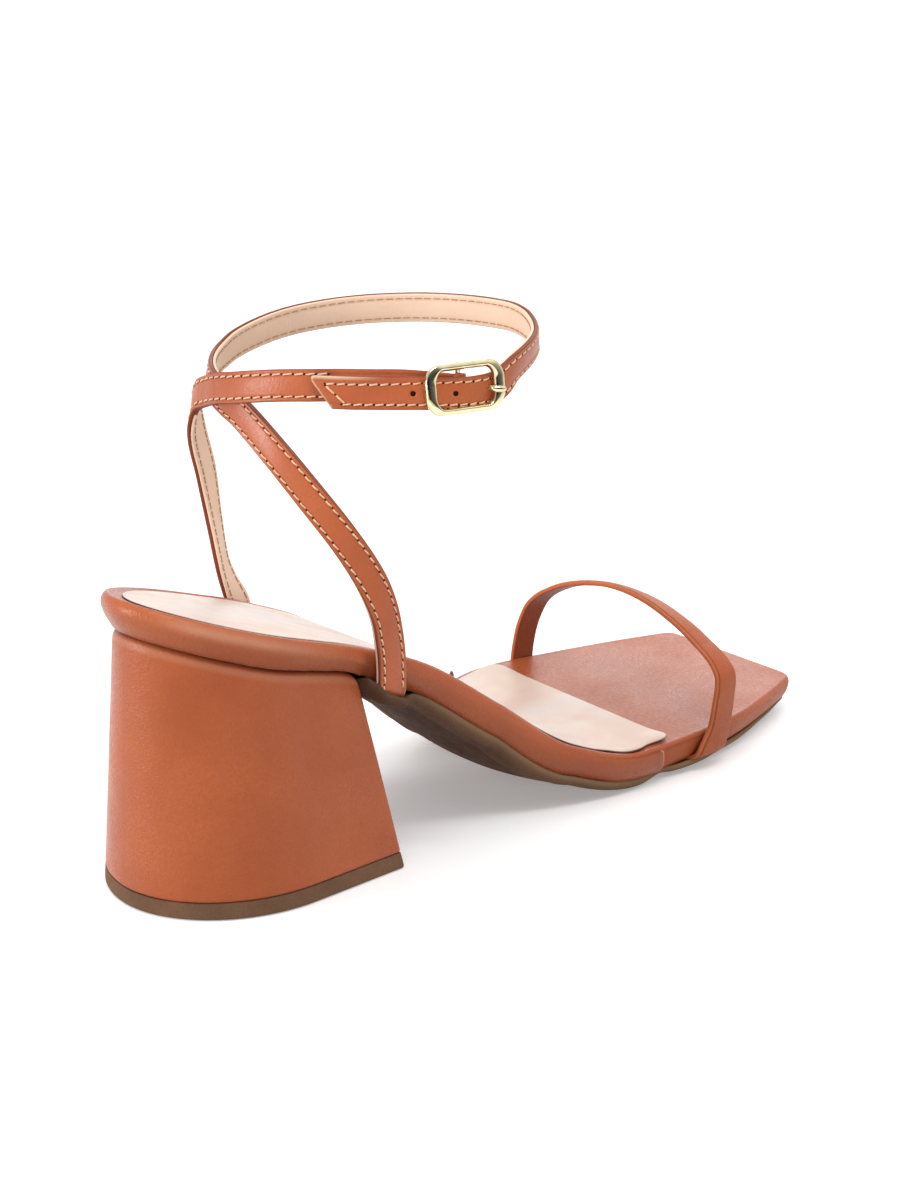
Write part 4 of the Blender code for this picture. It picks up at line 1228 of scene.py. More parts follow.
def loop_point(angle, height, offset, lean):
    """Station on the oval ankle loop, facing outward and leaning."""
    a, r, lean = math.radians(angle), math.radians(LOOP_TURN), math.radians(lean)
    n = np.array((math.cos(a) / LOOP_HALF[0], math.sin(a) / LOOP_HALF[1]))
    n /= np.linalg.norm(n)
    u = LOOP_HALF[0] * math.cos(a) + offset * n[0]
    v = LOOP_HALF[1] * math.sin(a) + offset * n[1]
    turn = np.array(((math.cos(r), -math.sin(r)), (math.sin(r), math.cos(r))))
    x, y = np.array(LOOP_CENTRE) + turn @ (u, v)
    nx, ny = turn @ n
    return (x, y, height, nx * math.cos(lean), ny * math.cos(lean), math.sin(lean))


def loop_rows(table, step=10.0):
    """Stations on the loop from a table of angle, height, offset and lean."""
    start, stop = table[0][0], table[-1][0]
    curves = [level_curve(sorted(table), column) for column in (1, 2, 3)]
    count = max(2, int(round(abs(stop - start) / step)))
    return [loop_point(a, *(float(c(a)) for c in curves)) for a in np.linspace(start, stop, count + 1)]


class Path:
    """Stations of a strap with their along, outward and across directions."""

    def __init__(self, rows, step=PATH_STEP, closed=False, flare=0.0, flare_end=1.0):
        stations = np.array(rows, float) if closed else flow(rows, step)
        self.p = stations[:, :3]
        if closed:
            along = np.roll(self.p, -1, axis=0) - np.roll(self.p, 1, axis=0)
        else:
            along = np.gradient(self.p, axis=0)
        self.along = along / np.linalg.norm(along, axis=1)[:, None]
        out = stations[:, 3:6] - self.along * np.sum(stations[:, 3:6] * self.along, axis=1)[:, None]
        self.out = out / np.linalg.norm(out, axis=1)[:, None]
        self.across = np.cross(self.along, self.out)
        gaps = np.linalg.norm(np.diff(self.p, axis=0), axis=1)
        self.s = np.concatenate([[0.0], np.cumsum(gaps)])
        self.length = float(self.s[-1])
        self.wide = 1.0 + flare * (1 - ramp(self.s, 0.25 * flare_end, flare_end))

    def at(self, point):
        """Distance along the path of the station nearest to a point."""
        return float(self.s[np.argmin(np.linalg.norm(self.p - np.asarray(point), axis=1))])

    def spread(self, across, outward, slide=0.0):
        """Grid of points: every station by every place of a profile."""
        shape = (len(self.p), len(across) if np.ndim(across) == 1 else across.shape[1])
        a, o, s = (np.broadcast_to(v, shape)[..., None] for v in (across, outward, slide))
        a = a * self.wide[:, None, None]
        return self.p[:, None] + self.across[:, None] * a + self.out[:, None] * o + self.along[:, None] * s


TOE_PATH = Path(TOE_BAND)
LATERAL_ROWS = list(LATERAL_LEG) + loop_rows(LATERAL_LOOP)
LATERAL_PATH = Path(LATERAL_ROWS, flare=LEG_FLARE, flare_end=LEG_FLARE_END)
MEDIAL_PATH = Path(list(MEDIAL_LEG) + loop_rows(MEDIAL_LOOP))
print("strap lengths:", [round(p.length, 1) for p in (TOE_PATH, LATERAL_PATH, MEDIAL_PATH)], "mm")

# %% [markdown]
# ## Toe band
# The band over the toes is one strip of hide folded round a thin tape: full round edges, no stitches, and a
# fine turned ridge along its rear edge. It creases a little where it bends down on each side. The section is
# an oval strip with a groove pressed in next to the ridge. The ridge carries a painted highlight, the groove
# painted shade, and the inner face is darker.

# %% Toe band
BAND_HALF, BAND_LOW, BAND_HIGH, BAND_EDGE = 4.5, -0.3, 1.05, 0.5
BAND_CROWN, BAND_PLACES = 0.3, 65
OUTER_FACE, INNER_SKIN = 0.6, 0.2
RIDGE_IN, RIDGE_DEEP, RIDGE_WIDE = 0.75, 0.4, 0.2
SWEEP, SWEEP_ENDS = 0.75, (9.0, 19.0)
BAND_CREASES = (
    # share of the length, depth, half width, slant
    (0.285, 0.12, 1.6, 0.25),
    (0.315, 0.08, 1.1, -0.2),
    (0.70, 0.10, 1.5, 0.3),
    (0.735, 0.07, 1.2, -0.25),
)


def round_strip(half, low, high, edge, top_count=33, corner_count=5):
    """Strip section as (across, outward) points, clockwise from the top left, with rounded edges."""
    top = np.linspace(edge - half, half - edge, top_count)
    turn = np.linspace(0.0, math.pi / 2, corner_count + 1)[1:]
    fall = min(edge, (high - low) / 2)
    right = [(half - edge + edge * math.sin(t), high - fall * (1 - math.cos(t))) for t in turn]
    right += [(half - edge + edge * math.cos(t), low + fall * (1 - math.sin(t))) for t in turn]
    left = [(-a, o) for a, o in right[::-1]]
    bottom = [(a, low) for a in top[::-4]]
    points = [(a, high) for a in top] + right + bottom[1:-1] + left
    return np.array(points).T


def creased(path, across, creases):
    """Depth of the soft troughs that cross a strap."""
    deep = np.zeros((len(path.p), len(across)))
    for share, depth, wide, slant in creases:
        deep += depth * bell(path.s[:, None] - slant * across[None, :], share * path.length, wide)
    return deep


def make_toe_band():
    across, outward = round_strip(BAND_HALF, BAND_LOW, BAND_HIGH, BAND_EDGE, BAND_PLACES)
    outer = outward > OUTER_FACE
    groove = bell(across, RIDGE_IN - BAND_HALF, RIDGE_WIDE) * outer
    crown = BAND_CROWN * (1 - (across / BAND_HALF) ** 2) * outer
    profile = outward + crown - RIDGE_DEEP * groove
    swept = across * (1 + SWEEP * (1 - ramp(TOE_PATH.s, *SWEEP_ENDS))[:, None] * (across < 0))
    rows = TOE_PATH.spread(swept, profile - creased(TOE_PATH, across, BAND_CREASES) * outer)
    piece = Piece("toe_band", BAND)
    # painted highlight on the rear ridge, painted shade in the groove beside it, and a darker inner face
    ridge = 0.06 * bell(across, -BAND_HALF, 0.5) * outer
    inner = 0.8 * (outward < BAND_LOW + INNER_SKIN)
    piece.tube(rows, shade=groove + inner, pale=ridge)
    return piece.make()


dress(make_toe_band(), "tan_leather", "toe_strap")

# %% [markdown]
# ## Ankle straps
# Each ankle strap is two layers sewn together: tan hide outside, pale lining inside, with painted edges. The
# needle draws the hide down along both rows, so the section has a shallow groove there and a soft crown
# between. Wrinkles cross the strap where it is bent most: at the front turn and behind the buckle.

# %% Strap layers
STRAP_HALF, STRAP_EDGE = 3.8, 0.42
HIDE_LOW, HIDE_HIGH, LINING_LOW = -0.2, 0.86, -1.0
STRAP_CROWN, STRAP_PAINT, STRAP_SIDE, STRAP_TURN = 0.17, 0.14, 0.6, 0.05
ROW_IN, ROW_DEEP, ROW_WIDE = 1.2, 0.16, 0.34
ROW_AT = STRAP_HALF - ROW_IN
TIP_SLANT, TIP_RUN, TIP_FLAT, TIP_ROUND = 0.79, 11.0, 4.5, 1.6
TIP_SKIVE, TIP_THIN, TIP_RAW, TIP_RUBBED = 0.8, 0.4, 0.6, (16.0, 4.0)
LINING_IN, LINING_EDGE_ROUND, LINING_LAP, LINING_PAINT = 0.1, 0.25, 0.06, 0.3
LINING_ROW_DEEP, LINING_BARE = 0.10, 0.75
LATERAL_CREASES = (
    # share of the length, depth, half width, slant
    (0.452, 0.06, 0.9, 0.3),
    (0.585, 0.10, 0.8, 0.2),
    (0.60, 0.07, 0.7, -0.3),
    (0.618, 0.09, 0.9, 0.1),
    (0.635, 0.06, 0.6, -0.1),
    (0.655, 0.07, 0.8, 0.25),
)
MEDIAL_CREASES = (
    (0.52, 0.08, 1.0, 0.2),
    (0.56, 0.06, 0.8, -0.2),
    (0.60, 0.07, 1.1, 0.3),
)
LATERAL_BARE = (
    # start and stop of an unpainted lining edge, and the side it is on
    (10.0, 48.0, -1),
    (105.0, 270.0, 1),
)
MEDIAL_BARE = ((10.0, 78.0, 1),)


def tip_slide(path, across, slant):
    """Shear that cuts the strap's end at a slant and rounds its upper corner."""
    near = ramp(path.s[:, None], path.length - TIP_RUN, path.length - TIP_FLAT)
    corner = np.clip((across[None, :] - STRAP_HALF) / TIP_ROUND + 1.0, 0.0, 1.0) ** 2
    return slant * (across[None, :] - TIP_ROUND * corner) * near


def painted_edge(across, outward):
    """Which places of the hide's section carry edge paint."""
    limit = STRAP_HALF - STRAP_PAINT
    side = (np.abs(across) > limit) | (outward < HIDE_HIGH - STRAP_SIDE)
    turned = (np.abs(np.roll(across, -1)) > limit) & (outward < HIDE_HIGH - STRAP_TURN)
    return np.where(side | turned, 1, 0)


def add_hide(piece, path, creases, slant=0.0, under=None):
    """Outer layer of a strap; a slant cuts its end to a tip, under is where another tip lies and casts a
    painted shadow.
    """
    across, outward = round_strip(STRAP_HALF, HIDE_LOW, HIDE_HIGH, STRAP_EDGE)
    outer = outward > OUTER_FACE
    groove = bell(np.abs(across) - ROW_AT, 0.0, ROW_WIDE) * outer
    crown = STRAP_CROWN * np.clip(1 - (across / ROW_AT) ** 2, 0, 1) * outer
    level = outward + crown - ROW_DEEP * groove - creased(path, across, creases) * outer
    finish = np.tile(painted_edge(across, outward), (len(path.p), 1))
    # darker at the edges, along the edge paint, and painted shade in the stitch grooves
    shade = 0.35 * bell(np.abs(across), STRAP_HALF, 0.5) + 0.22 * groove
    pale = 0.0
    # painted shadow of the tip that lies on this strap
    if under:
        shade = shade + 0.5 * bell(path.s, under + 0.5, 3.0)[:, None]
    if slant:
        end = path.length
        level = level - TIP_THIN * ramp(path.s, end - TIP_SKIVE, end)[:, None] * outer
        finish[path.s > end - TIP_RAW] = 2
        near = ramp(path.s, *(end - run for run in TIP_RUBBED))[:, None]
        pale = 0.9 * bell(across, STRAP_HALF, 0.6) * near
    rows = path.spread(across, level, tip_slide(path, across, slant))
    piece.tube(rows, finish=finish, ends=2, shade=shade, pale=pale)


def add_lining(piece, path, bare, slant=0.0):
    """Inner layer of a strap, its edges painted apart from the bare stretches."""
    half, high = STRAP_HALF - LINING_IN, HIDE_LOW + LINING_LAP
    across, outward = round_strip(half, LINING_LOW, high, LINING_EDGE_ROUND)
    inner = outward < LINING_LOW + INNER_SKIN
    groove = bell(np.abs(across) - ROW_AT, 0.0, ROW_WIDE) * inner
    level = outward + LINING_ROW_DEEP * groove
    painted = np.where(np.abs(across) > STRAP_HALF - LINING_PAINT, 1, 0)
    finish = np.tile(painted, (len(path.p), 1))
    for start, stop, side in bare:
        unpainted = (across * side > 0) & (outward < LINING_LOW + LINING_BARE)
        finish[(path.s > start) & (path.s < stop)] *= ~unpainted
    rows = path.spread(across, level, tip_slide(path, across, slant))
    # painted shade in the lining's stitch grooves
    piece.tube(rows, finish=finish, ends=0, shade=0.12 * groove)


UNDER_TIP = MEDIAL_PATH.at(LATERAL_PATH.p[-1])
hide = Piece("ankle_strap_hide", STRAP, EDGE, RAW, NEEDLE_SHADE)
add_hide(hide, LATERAL_PATH, LATERAL_CREASES, slant=TIP_SLANT)
add_hide(hide, MEDIAL_PATH, MEDIAL_CREASES, under=UNDER_TIP)
lining = Piece("ankle_strap_lining", LINING, EDGE)
add_lining(lining, LATERAL_PATH, LATERAL_BARE, slant=TIP_SLANT)
add_lining(lining, MEDIAL_PATH, MEDIAL_BARE)
print("strap layers:", len(hide.faces), len(lining.faces), "faces")

# %% [markdown]
# The buckle sits on the loop's outer side. Its own small frame of directions, along, across and out of the
# strap, places the wire, the bar, the prong and the strap's holes, so it comes before the holes are cut.

# %% Buckle directions
BUCKLE_ANGLE, BUCKLE_HEIGHT, BUCKLE_LEAN, BUCKLE_RISE = -56.0, 125.2, 8.0, 0.15
BUCKLE_SIGHT = 4.0


def loop_sight(angle, rise):
    """Station on the loop at the buckle, or an angle before or after it."""
    return np.array(loop_point(BUCKLE_ANGLE + angle, BUCKLE_HEIGHT + rise, 0.0, BUCKLE_LEAN))


station = loop_sight(0.0, 0.0)
ahead, behind = loop_sight(BUCKLE_SIGHT, BUCKLE_RISE)[:3], loop_sight(-BUCKLE_SIGHT, 0.0)[:3]
B_ORIGIN, B_OUT = station[:3], station[3:] / np.linalg.norm(station[3:])
B_ALONG = (ahead - behind) - B_OUT * np.dot(ahead - behind, B_OUT)
B_ALONG /= np.linalg.norm(B_ALONG)
B_ACROSS = np.cross(B_ALONG, B_OUT)


def at_buckle(along, across, out):
    """Point in the buckle's own directions."""
    return B_ORIGIN + B_ALONG * along + B_ACROSS * across + B_OUT * out


print("buckle bar at", [round(float(c), 1) for c in B_ORIGIN], "mm")

# %% [markdown]
# The short strap ends at the buckle: it is rolled round the centre bar and slit, so that the prong can pass.
# The roll is an open ring of leather, once above and once below the slit.

# %% Strap end round the bar
BAR_RADIUS, BAR_LEVEL, PRONG_RADIUS = 0.65, -0.4, 0.75
FOLD_RADIUS, FOLD_WALL, FOLD_TURN = 1.9, 0.85, 150.0
FOLD_SLOT, FOLD_HALF = 1.0, 2.7
FOLD_SECTIONS = (
    # distance from the strap's middle, scale of the roll there
    (FOLD_SLOT, 0.96),
    (FOLD_SLOT + 0.15, 1.0),
    (FOLD_HALF - 0.2, 1.0),
    (FOLD_HALF, 0.95),
)


def add_fold(piece):
    """The medial strap's end, rolled round the bar on both sides of the prong."""
    turn = np.radians(np.linspace(-FOLD_TURN, FOLD_TURN, 31))
    circle = np.c_[np.cos(turn), np.sin(turn)]
    ring = np.concatenate([FOLD_RADIUS * circle, (FOLD_RADIUS - FOLD_WALL) * circle[::-1]])
    for side in (-1, 1):
        rows = []
        for off, scale in FOLD_SECTIONS:
            rows.append([at_buckle(a, side * off, BAR_LEVEL + o) for a, o in ring * scale])
        piece.tube(np.array(rows), ends=1)


add_fold(hide)
print("strap end rolled, radius", FOLD_RADIUS, "mm")

# %% [markdown]
# The strap's holes are punched, so they are real holes. A handful of faces is taken out of the even
# grid, the rim that is left is pulled onto a circle, and the wall is drawn inward from it to a closed floor.
# Wall and floor take the dark needle finish: painted shade inside the hole.

# %% Punched holes
HOLE_RADIUS, HOLE_DEEP, HOLE_DISH, HOLE_PITCH, HOLE_COUNT = 0.66, 0.75, 0.08, 10.0, 3
PIN_ALONG, PIN_OUT = 7.0, 3.0
hide_obj, lining_obj = hide.make(), lining.make()


def punch(obj, path, s, radius, depth, finish):
    """A round hole in the outer face of a strap, at one distance along its path."""
    i = int(np.argmin(np.abs(path.s - s)))
    centre, out = Vector(placed(path.p[i])), Vector(path.out[i])

    def flat(p):
        d = p - centre
        return d - out * d.dot(out)

    bm = bmesh.new()
    bm.from_mesh(obj.data)
    top = HIDE_HIGH * 0.5 * MM
    gone = []
    for face in bm.faces:
        middle = face.calc_center_median()
        level = (middle - centre).dot(out)
        if top < level < 3 * top and flat(middle).length < radius * MM and face.normal.dot(out) > 0.5:
            gone.append(face)
    bmesh.ops.delete(bm, geom=gone, context="FACES")
    edge = next(e for e in bm.edges if e.is_boundary)
    rim = [edge.verts[0]]
    while edge.other_vert(rim[-1]) != rim[0]:
        rim.append(edge.other_vert(rim[-1]))
        edge = next(e for e in rim[-1].link_edges if e.is_boundary and e != edge)
    for v in rim:
        d = flat(v.co)
        v.co += d * (radius * MM / d.length - 1.0) - out * HOLE_DISH * MM
    low = [bm.verts.new(v.co - out * depth * MM, v) for v in rim]
    walls = [bm.faces.new((rim[k - 1], rim[k], low[k], low[k - 1])) for k in range(len(rim))]
    for face in walls:
        face.smooth = True
    # the wall and the closed floor take the dark finish: painted shade inside the hole
    for face in (*walls, bm.faces.new(low)):
        face.material_index = finish
    bmesh.ops.recalc_face_normals(bm, faces=bm.faces)
    bm.to_mesh(obj.data)
    bm.free()


pin = LATERAL_PATH.at(at_buckle(PIN_ALONG, 0.0, PIN_OUT))
for k in range(HOLE_COUNT):
    punch(hide_obj, LATERAL_PATH, pin + k * HOLE_PITCH, HOLE_RADIUS, HOLE_DEEP, 3)
dress(hide_obj, "tan_leather", "ankle_straps")
dress(lining_obj, "cream_leather")

# %% [markdown]
# ## Stitches
# Two rows of lock stitch hold the layers together. A stitch is a short arched piece of yarn with a dark
# needle hole at its end, a flat dark bead of painted shade. Geometry Nodes suits this: the rows are plain
# guide lines that carry the facing of the leather, the tree walks along them at the stitch pitch and sets one
# stitch on every point. Pitch, length and thickness are named inputs, so the seam can be tuned without
# touching the guides.

# %% Guide lines
STITCH_LEVEL, BACK_LEVEL = HIDE_HIGH - 0.05, LINING_LOW + 0.02
TUCKED, BAR_MARGIN, TIP_COVER = 12.5, 3.0, 1.0
TIP_MARGIN, TIP_SHORT = 3.6, 0.75
TIP_BEND, TIP_DROP, TIP_PROUD = (34.0, 10.0), 0.6, 0.12
TIP_ROW, TIP_ROW_AT, TIP_LEAN, TIP_RISE = 1.03, -0.4, 1.18, 0.22


def seam(path, across, level, start, stop, slant=0.0):
    """Points and facing of one seam, as a list of (point, facing)."""
    keep = (path.s >= start) & (path.s <= stop)
    slide = tip_slide(path, np.array([across]), slant)[:, 0]
    lower = 0.0 * path.s
    if slant and across > 0:
        lower = ramp(path.s, *(path.length - run for run in TIP_BEND))
    away, level = across * path.wide - TIP_DROP * lower, level + TIP_PROUD * lower
    points = path.p + path.across * away[:, None] + path.out * level[:, None] + path.along * slide[:, None]
    return list(zip(points[keep], path.out[keep]))


def tip_seam(path, start, level, slant):
    """The short seam across the strap behind its tip, leaning a little more than the cut."""
    i = int(np.argmin(np.abs(path.s - start)))
    rows = []
    for a in np.linspace(-TIP_ROW, TIP_ROW, 8):
        slide = TIP_LEAN * a + TIP_ROW_AT * slant
        aside = path.across[i] * (a + TIP_ROW_AT) + path.out[i] * (level + TIP_RISE)
        rows.append((path.p[i] + aside + path.along[i] * slide, path.out[i]))
    return rows


def guide(name, seams):
    """Mesh of edge chains whose points carry the facing of the surface."""
    mesh = bpy.data.meshes.new(name)
    points, facing, edges = [], [], []
    for rows in seams:
        first = len(points)
        points += [p for p, _ in rows]
        facing += [f for _, f in rows]
        edges += [(first + k, first + k + 1) for k in range(len(rows) - 1)]
    mesh.from_pydata(placed(points).tolist(), edges, [])
    layer = mesh.attributes.new("facing", "FLOAT_VECTOR", "POINT")
    layer.data.foreach_set("vector", np.array(facing, np.float32).ravel())
    obj = bpy.data.objects.new(name, mesh)
    bpy.context.scene.collection.objects.link(obj)
    return obj


tip_stop, bar_stop = LATERAL_PATH.length - TIP_MARGIN, MEDIAL_PATH.length - BAR_MARGIN
front_seams, near_seams, back_seams = [], [], []
tip_seams = [tip_seam(LATERAL_PATH, tip_stop, STITCH_LEVEL, TIP_SLANT)]
for a in (-ROW_AT, ROW_AT):
    front_seams.append(seam(LATERAL_PATH, a, STITCH_LEVEL, TUCKED, tip_stop - TIP_SHORT, TIP_SLANT))
    near_seams.append(seam(MEDIAL_PATH, a, STITCH_LEVEL, TUCKED, UNDER_TIP + TIP_COVER))
    back_seams.append(seam(LATERAL_PATH, a, BACK_LEVEL, TUCKED, tip_stop, TIP_SLANT))
    back_seams.append(seam(MEDIAL_PATH, a, BACK_LEVEL, TUCKED, bar_stop))
print("seams:", len(front_seams + near_seams + tip_seams), "outside,", len(back_seams), "inside")

# %% [markdown]
# One tree serves stitches and needle holes, whose dark beads are painted shade; only the small shape that it
# sets down differs. The tangent and the stored facing turn each copy, a slight slant lays the stitches over
# as a machine does, and a random scale with a fixed seed keeps them from being all alike.

# %% Stitch tree
SEED = 7
SCALE_LOW, SCALE_HIGH = (0.93, 0.9, 0.9), (1.05, 1.1, 1.1)
HOLE_FLAT = (1.1, 0.95, 0.3)


def row_tree(name, shape, sizes):
    """Tree that sets a stitch, or the dark bead of a needle hole as painted shade, on every pitch of its
    guide lines.
    """
    tree = bpy.data.node_groups.new(name, "GeometryNodeTree")
    tree.interface.new_socket("Guide", in_out="INPUT", socket_type="NodeSocketGeometry")
    for label, value in sizes:
        tree.interface.new_socket(label, in_out="INPUT", socket_type="NodeSocketFloat").default_value = value
    tree.interface.new_socket("Yarn", in_out="INPUT", socket_type="NodeSocketMaterial")
    tree.interface.new_socket("Rows", in_out="OUTPUT", socket_type="NodeSocketGeometry")

    def add(kind, inputs=None, **settings):
        node = tree.nodes.new(kind)
        for key, value in settings.items():
            setattr(node, key, value)
        for key, value in (inputs or {}).items():
            if isinstance(value, bpy.types.NodeSocket):
                tree.links.new(value, node.inputs[key])
            else:
                node.inputs[key].default_value = value
        return node

    given = add("NodeGroupInput").outputs
    line = add("GeometryNodeMeshToCurve", {"Mesh": given["Guide"]}).outputs[0]
    walk = {"Curve": line, "Length": given["Pitch"]}
    line = add("GeometryNodeResampleCurve", walk, mode="LENGTH").outputs[0]
    tangent = add("GeometryNodeInputTangent").outputs[0]
    stored = {"Name": "facing"}
    facing = add("GeometryNodeInputNamedAttribute", stored, data_type="FLOAT_VECTOR").outputs[0]
    axes = {"Primary Axis": tangent, "Secondary Axis": facing}
    turn = add("FunctionNodeAxesToRotation", axes, primary_axis="X", secondary_axis="Z").outputs[0]
    lean = add("ShaderNodeCombineXYZ", {"Z": given["Slant"]}).outputs[0]
    lean = add("FunctionNodeEulerToRotation", {0: lean}).outputs[0]
    turn = add("FunctionNodeRotateRotation", {0: turn, 1: lean}, rotation_space="LOCAL").outputs[0]
    vary = {"Min": SCALE_LOW, "Max": SCALE_HIGH, "Seed": SEED}
    scale = add("FunctionNodeRandomValue", vary, data_type="FLOAT_VECTOR").outputs[0]
    put = {"Points": line, "Instance": shape(add, given), "Rotation": turn, "Scale": scale}
    rows = add("GeometryNodeInstanceOnPoints", put).outputs[0]
    rows = add("GeometryNodeRealizeInstances", {"Geometry": rows}).outputs[0]
    rows = add("GeometryNodeSetMaterial", {"Geometry": rows, "Material": given["Yarn"]}).outputs[0]
    tree.links.new(rows, add("NodeGroupOutput").inputs[0])
    return tree


def times(add, value, factor):
    return add("ShaderNodeMath", {0: value, 1: factor}, operation="MULTIPLY").outputs[0]


def stitch_shape(add, given):
    """Arched bit of yarn that dives in at both ends."""
    low = times(add, given["Sink"], -1.0)
    ends = []
    for side in (-0.5, 0.5):
        reach = times(add, given["Length"], side)
        ends.append(add("ShaderNodeCombineXYZ", {"X": reach, "Z": low}).outputs[0])
    peak = add("ShaderNodeCombineXYZ", {"Z": given["Arch"]}).outputs[0]
    bow = {"Start": ends[0], "Middle": peak, "End": ends[1], "Resolution": 5}
    arch = add("GeometryNodeCurveQuadraticBezier", bow).outputs[0]
    ring = add("GeometryNodeCurvePrimitiveCircle", {"Resolution": 6, "Radius": given["Radius"]}).outputs[0]
    yarn_bit = {"Curve": arch, "Profile Curve": ring, "Fill Caps": True}
    return add("GeometryNodeCurveToMesh", yarn_bit).outputs[0]


def hole_shape(add, given):
    """Flat dark bead half a pitch further on: painted shade of a needle hole."""
    bead = {"Segments": 8, "Rings": 4, "Radius": given["Radius"]}
    bead = add("GeometryNodeMeshUVSphere", bead).outputs[0]
    half = times(add, given["Pitch"], 0.5)
    move = add("ShaderNodeCombineXYZ", {"X": half, "Z": given["Rise"]}).outputs[0]
    place = {"Geometry": bead, "Translation": move, "Scale": HOLE_FLAT}
    return add("GeometryNodeTransform", place).outputs[0]


def sew(name, guide_obj, tree, finish, **sizes):
    """Runs a tree on a guide, with its inputs set by identifier, and keeps the result as a plain mesh."""
    mod = guide_obj.modifiers.new(name, "NODES")
    mod.node_group = tree
    for item in tree.interface.items_tree:
        if item.in_out == "INPUT" and item.name in sizes:
            mod[item.identifier] = sizes[item.name]
        if item.in_out == "INPUT" and item.name == "Yarn":
            mod[item.identifier] = finish
    depsgraph = bpy.context.evaluated_depsgraph_get()
    mesh = bpy.data.meshes.new_from_object(guide_obj.evaluated_get(depsgraph))
    guide_obj.modifiers.remove(mod)
    mesh.name = name
    mesh.shade_smooth()
    obj = bpy.data.objects.new(name, mesh)
    bpy.context.scene.collection.objects.link(obj)
    return obj


PITCH = 2.5 * MM
STITCH_SIZES = (
    ("Pitch", PITCH),
    ("Length", 1.75 * MM),
    ("Radius", 0.22 * MM),
    ("Arch", 0.4 * MM),
    ("Sink", 0.12 * MM),
    ("Slant", 0.0),
)
HOLE_SIZES = (("Pitch", PITCH), ("Radius", 0.27 * MM), ("Rise", 0.0), ("Slant", 0.0))
STITCH_TREE = row_tree("stitch_rows", stitch_shape, STITCH_SIZES)
HOLE_TREE = row_tree("needle_hole_shade", hole_shape, HOLE_SIZES)
print("trees:", STITCH_TREE.name, HOLE_TREE.name)

# %% [markdown]
# The near strap and the tip were sewn with longer stitches than the rest, and inside the strap the brown
# bobbin thread shows. Each row of the table is one run of a tree, and the guides are thrown away at the end.

# %% Sewing
NEAR_PITCH, LONG_PITCH = 2.85 * MM, 3.1 * MM
FRONT_SIZES = {"Slant": 0.14}
NEAR_SIZES = {"Slant": 0.12, "Pitch": NEAR_PITCH, "Length": 2.1 * MM}
TIP_SIZES = {"Pitch": LONG_PITCH, "Length": 2.5 * MM}
BACK_SIZES = {"Radius": 0.16 * MM, "Arch": 0.12 * MM, "Sink": 0.1 * MM}
front_guide, near_guide = guide("front_guide", front_seams), guide("near_guide", near_seams)
back_guide, tip_guide = guide("back_guide", back_seams), guide("tip_guide", tip_seams)
SEWN = (
    # name, guide, tree, finish, sizes, slot
    ("stitches", front_guide, STITCH_TREE, THREAD, FRONT_SIZES, "cream_leather"),
    ("near_stitches", near_guide, STITCH_TREE, THREAD, NEAR_SIZES, "cream_leather"),
    ("tip_stitches", tip_guide, STITCH_TREE, THREAD, TIP_SIZES, "cream_leather"),
    ("needle_hole_shade", front_guide, HOLE_TREE, NEEDLE_SHADE, {}, "tan_leather"),
    ("tip_needle_hole_shade", tip_guide, HOLE_TREE, NEEDLE_SHADE, {"Pitch": LONG_PITCH}, "tan_leather"),
    ("near_needle_hole_shade", near_guide, HOLE_TREE, NEEDLE_SHADE, {"Pitch": NEAR_PITCH}, "tan_leather"),
    ("lining_stitches", back_guide, STITCH_TREE, BACK_THREAD, BACK_SIZES, "tan_leather"),
)
for name, guide_obj, tree, finish, sizes, slot in SEWN:
    dress(sew(name, guide_obj, tree, finish, **sizes), slot)
for obj in (front_guide, near_guide, back_guide, tip_guide):
    bpy.data.objects.remove(obj)

# %% [markdown]
# ## Buckle
# The buckle is cast in one piece and plated: a rounded rectangle of wire with a sunk bar across its middle.
# Its upright bars are broader than the long ones, so sweeping one profile round a curve would not give it.
# The section is carried round station by station and broadened where the wire runs across the strap. The bar
# is a bent wire, made as a tube along a short path.

# %% Buckle frame
FRAME_HALF_LONG, FRAME_HALF_WIDE, FRAME_LEVEL = 9.4, 5.05, 4.1
FRAME_CORNER, FRAME_CORNER_LONG, CORNER_STATIONS = 3.5, 3.02, 15
FRAME_BACK, FRAME_DOWN = -0.75, 0.1
WIRE_NARROW, WIRE_BROAD, WIRE_HALF_THICK = 0.74, 1.38, 0.95
WIRE_POWER, WIRE_TILT, WIRE_SIDES = 3.4, 0.42, 32
BAR_BEND = (
    # across, out, from the frame down to the level of the bar
    (4.7, FRAME_LEVEL - 0.4),
    (4.75, 1.6),
    (5.0, 0.2),
    (4.6, BAR_LEVEL),
)


def ring_path():
    """Stations round the frame, facing out of the strap."""
    rows = []
    for sa, sc, turn in ((1, 1, 0), (-1, 1, 90), (-1, -1, 180), (1, -1, 270)):
        for t in np.radians(turn + np.linspace(0.0, 90.0, CORNER_STATIONS)):
            a = FRAME_BACK + sa * (FRAME_HALF_LONG - FRAME_CORNER) + FRAME_CORNER_LONG * math.cos(t)
            c = FRAME_DOWN + sc * (FRAME_HALF_WIDE - FRAME_CORNER) + FRAME_CORNER * math.sin(t)
            facing = B_OUT + B_ACROSS * WIRE_TILT * math.sin(t)
            rows.append((*at_buckle(a, c, FRAME_LEVEL), *facing))
    return Path(rows, closed=True)


def wire(across, outward, sides, power=2.0):
    """Wire section: an oval at power two, squarer above it."""
    t = 2 * math.pi * np.arange(sides) / sides
    c, s = (np.sign(wave) * np.abs(wave) ** (2 / power) for wave in (np.cos(t), np.sin(t)))
    return np.array((across * c, outward * s))


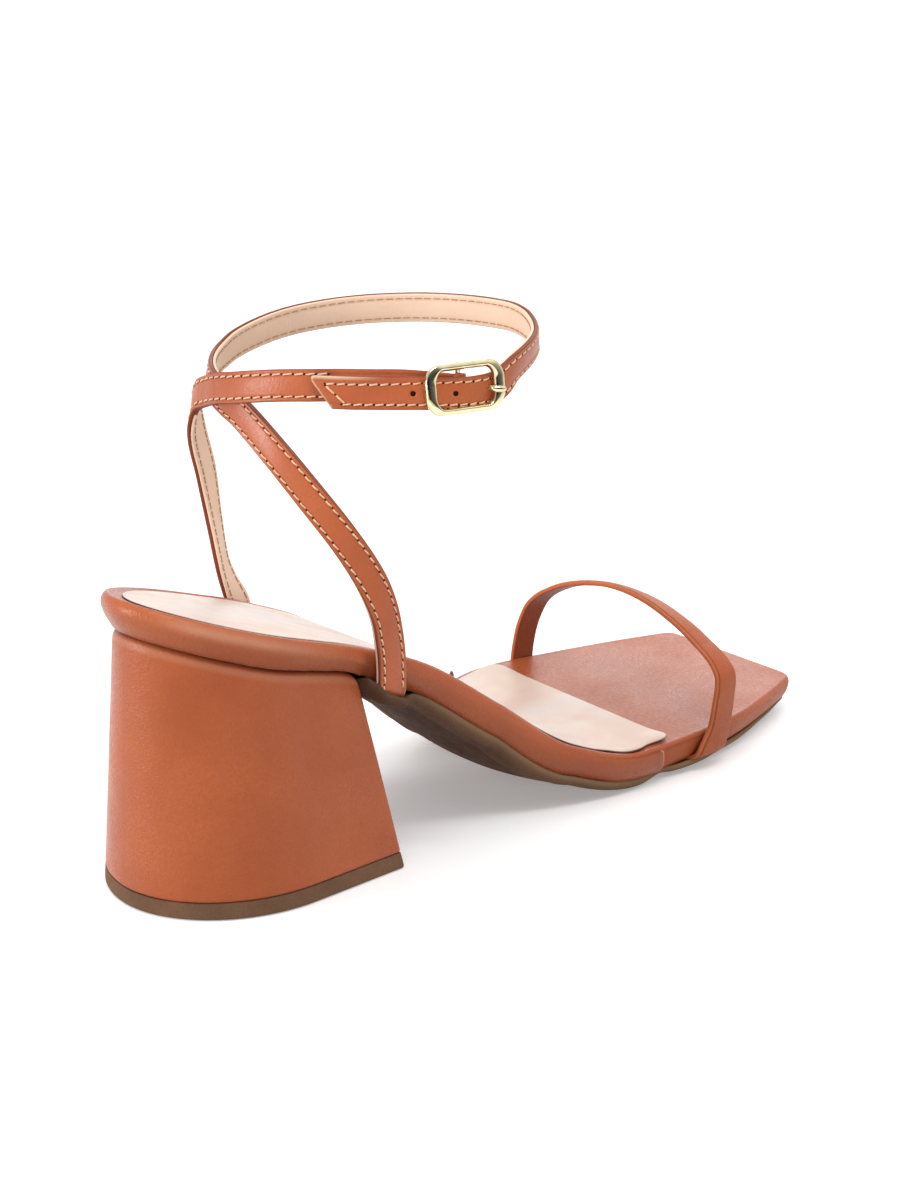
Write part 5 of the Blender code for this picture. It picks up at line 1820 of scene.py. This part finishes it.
def make_frame():
    piece = Piece("buckle_ring", GOLD)
    ring = ring_path()
    upright = np.abs(ring.along @ B_ACROSS)[:, None]
    across, outward = wire(1.0, WIRE_HALF_THICK, WIRE_SIDES, WIRE_POWER)
    across = across[None, :] * (WIRE_NARROW + (WIRE_BROAD - WIRE_NARROW) * upright)
    piece.grid(ring.spread(across, outward), around=True, loop=True)
    stops = list(BAR_BEND) + [(-c, o) for c, o in BAR_BEND[::-1]]
    bar = Path([(*at_buckle(0.0, c, o), *B_ALONG) for c, o in stops], step=0.3)
    piece.tube(bar.spread(*wire(BAR_RADIUS, BAR_RADIUS, 16)))
    return piece.make()


dress(make_frame(), "gold_metal", "buckle_frame")

# %% [markdown]
# The prong is a wire of its own. An eye at its root turns on the centre bar, the shaft rises through the
# strap's hole, and its rounded end rests on the front bar.

# %% Prong
PRONG_PLAY, EYE_STATIONS, PRONG_SIDES = 0.3, 36, 14
PRONG_RING = BAR_RADIUS + PRONG_PLAY + PRONG_RADIUS
PRONG_PATH = (
    # along, across, out
    (1.9, 0.0, 0.2),
    (3.8, 0.2, 0.5),
    (5.0, 0.6, 1.6),
    (5.9, 0.95, 3.9),
    (6.6, 1.15, 5.3),
    (7.6, 1.3, 5.85),
    (9.1, 1.4, 5.8),
)


def make_prong():
    piece = Piece("prong", GOLD)
    across, outward = wire(PRONG_RADIUS, PRONG_RADIUS, PRONG_SIDES)
    eye = []
    for t in 2 * math.pi * np.arange(EYE_STATIONS) / EYE_STATIONS:
        spot = at_buckle(PRONG_RING * math.cos(t), 0.0, BAR_LEVEL + PRONG_RING * math.sin(t))
        eye.append((*spot, *B_ACROSS))
    piece.grid(Path(eye, closed=True).spread(across, outward), around=True, loop=True)
    shaft = Path([(*at_buckle(a, c, o), *B_ACROSS) for a, c, o in PRONG_PATH], step=0.25)
    left = np.clip((shaft.length - shaft.s) / PRONG_RADIUS, 0.0, 1.0)
    slim = np.sqrt(np.clip(1 - (1 - left) ** 2, 0.02, 1.0))[:, None]
    piece.tube(shaft.spread(across[None, :] * slim, outward[None, :] * slim))
    return piece.make()


dress(make_prong(), "gold_metal", "buckle_prong")

# %% [markdown]
# The visual model has to stay inside the solids' box, apart from a little that soft goods may stand proud.
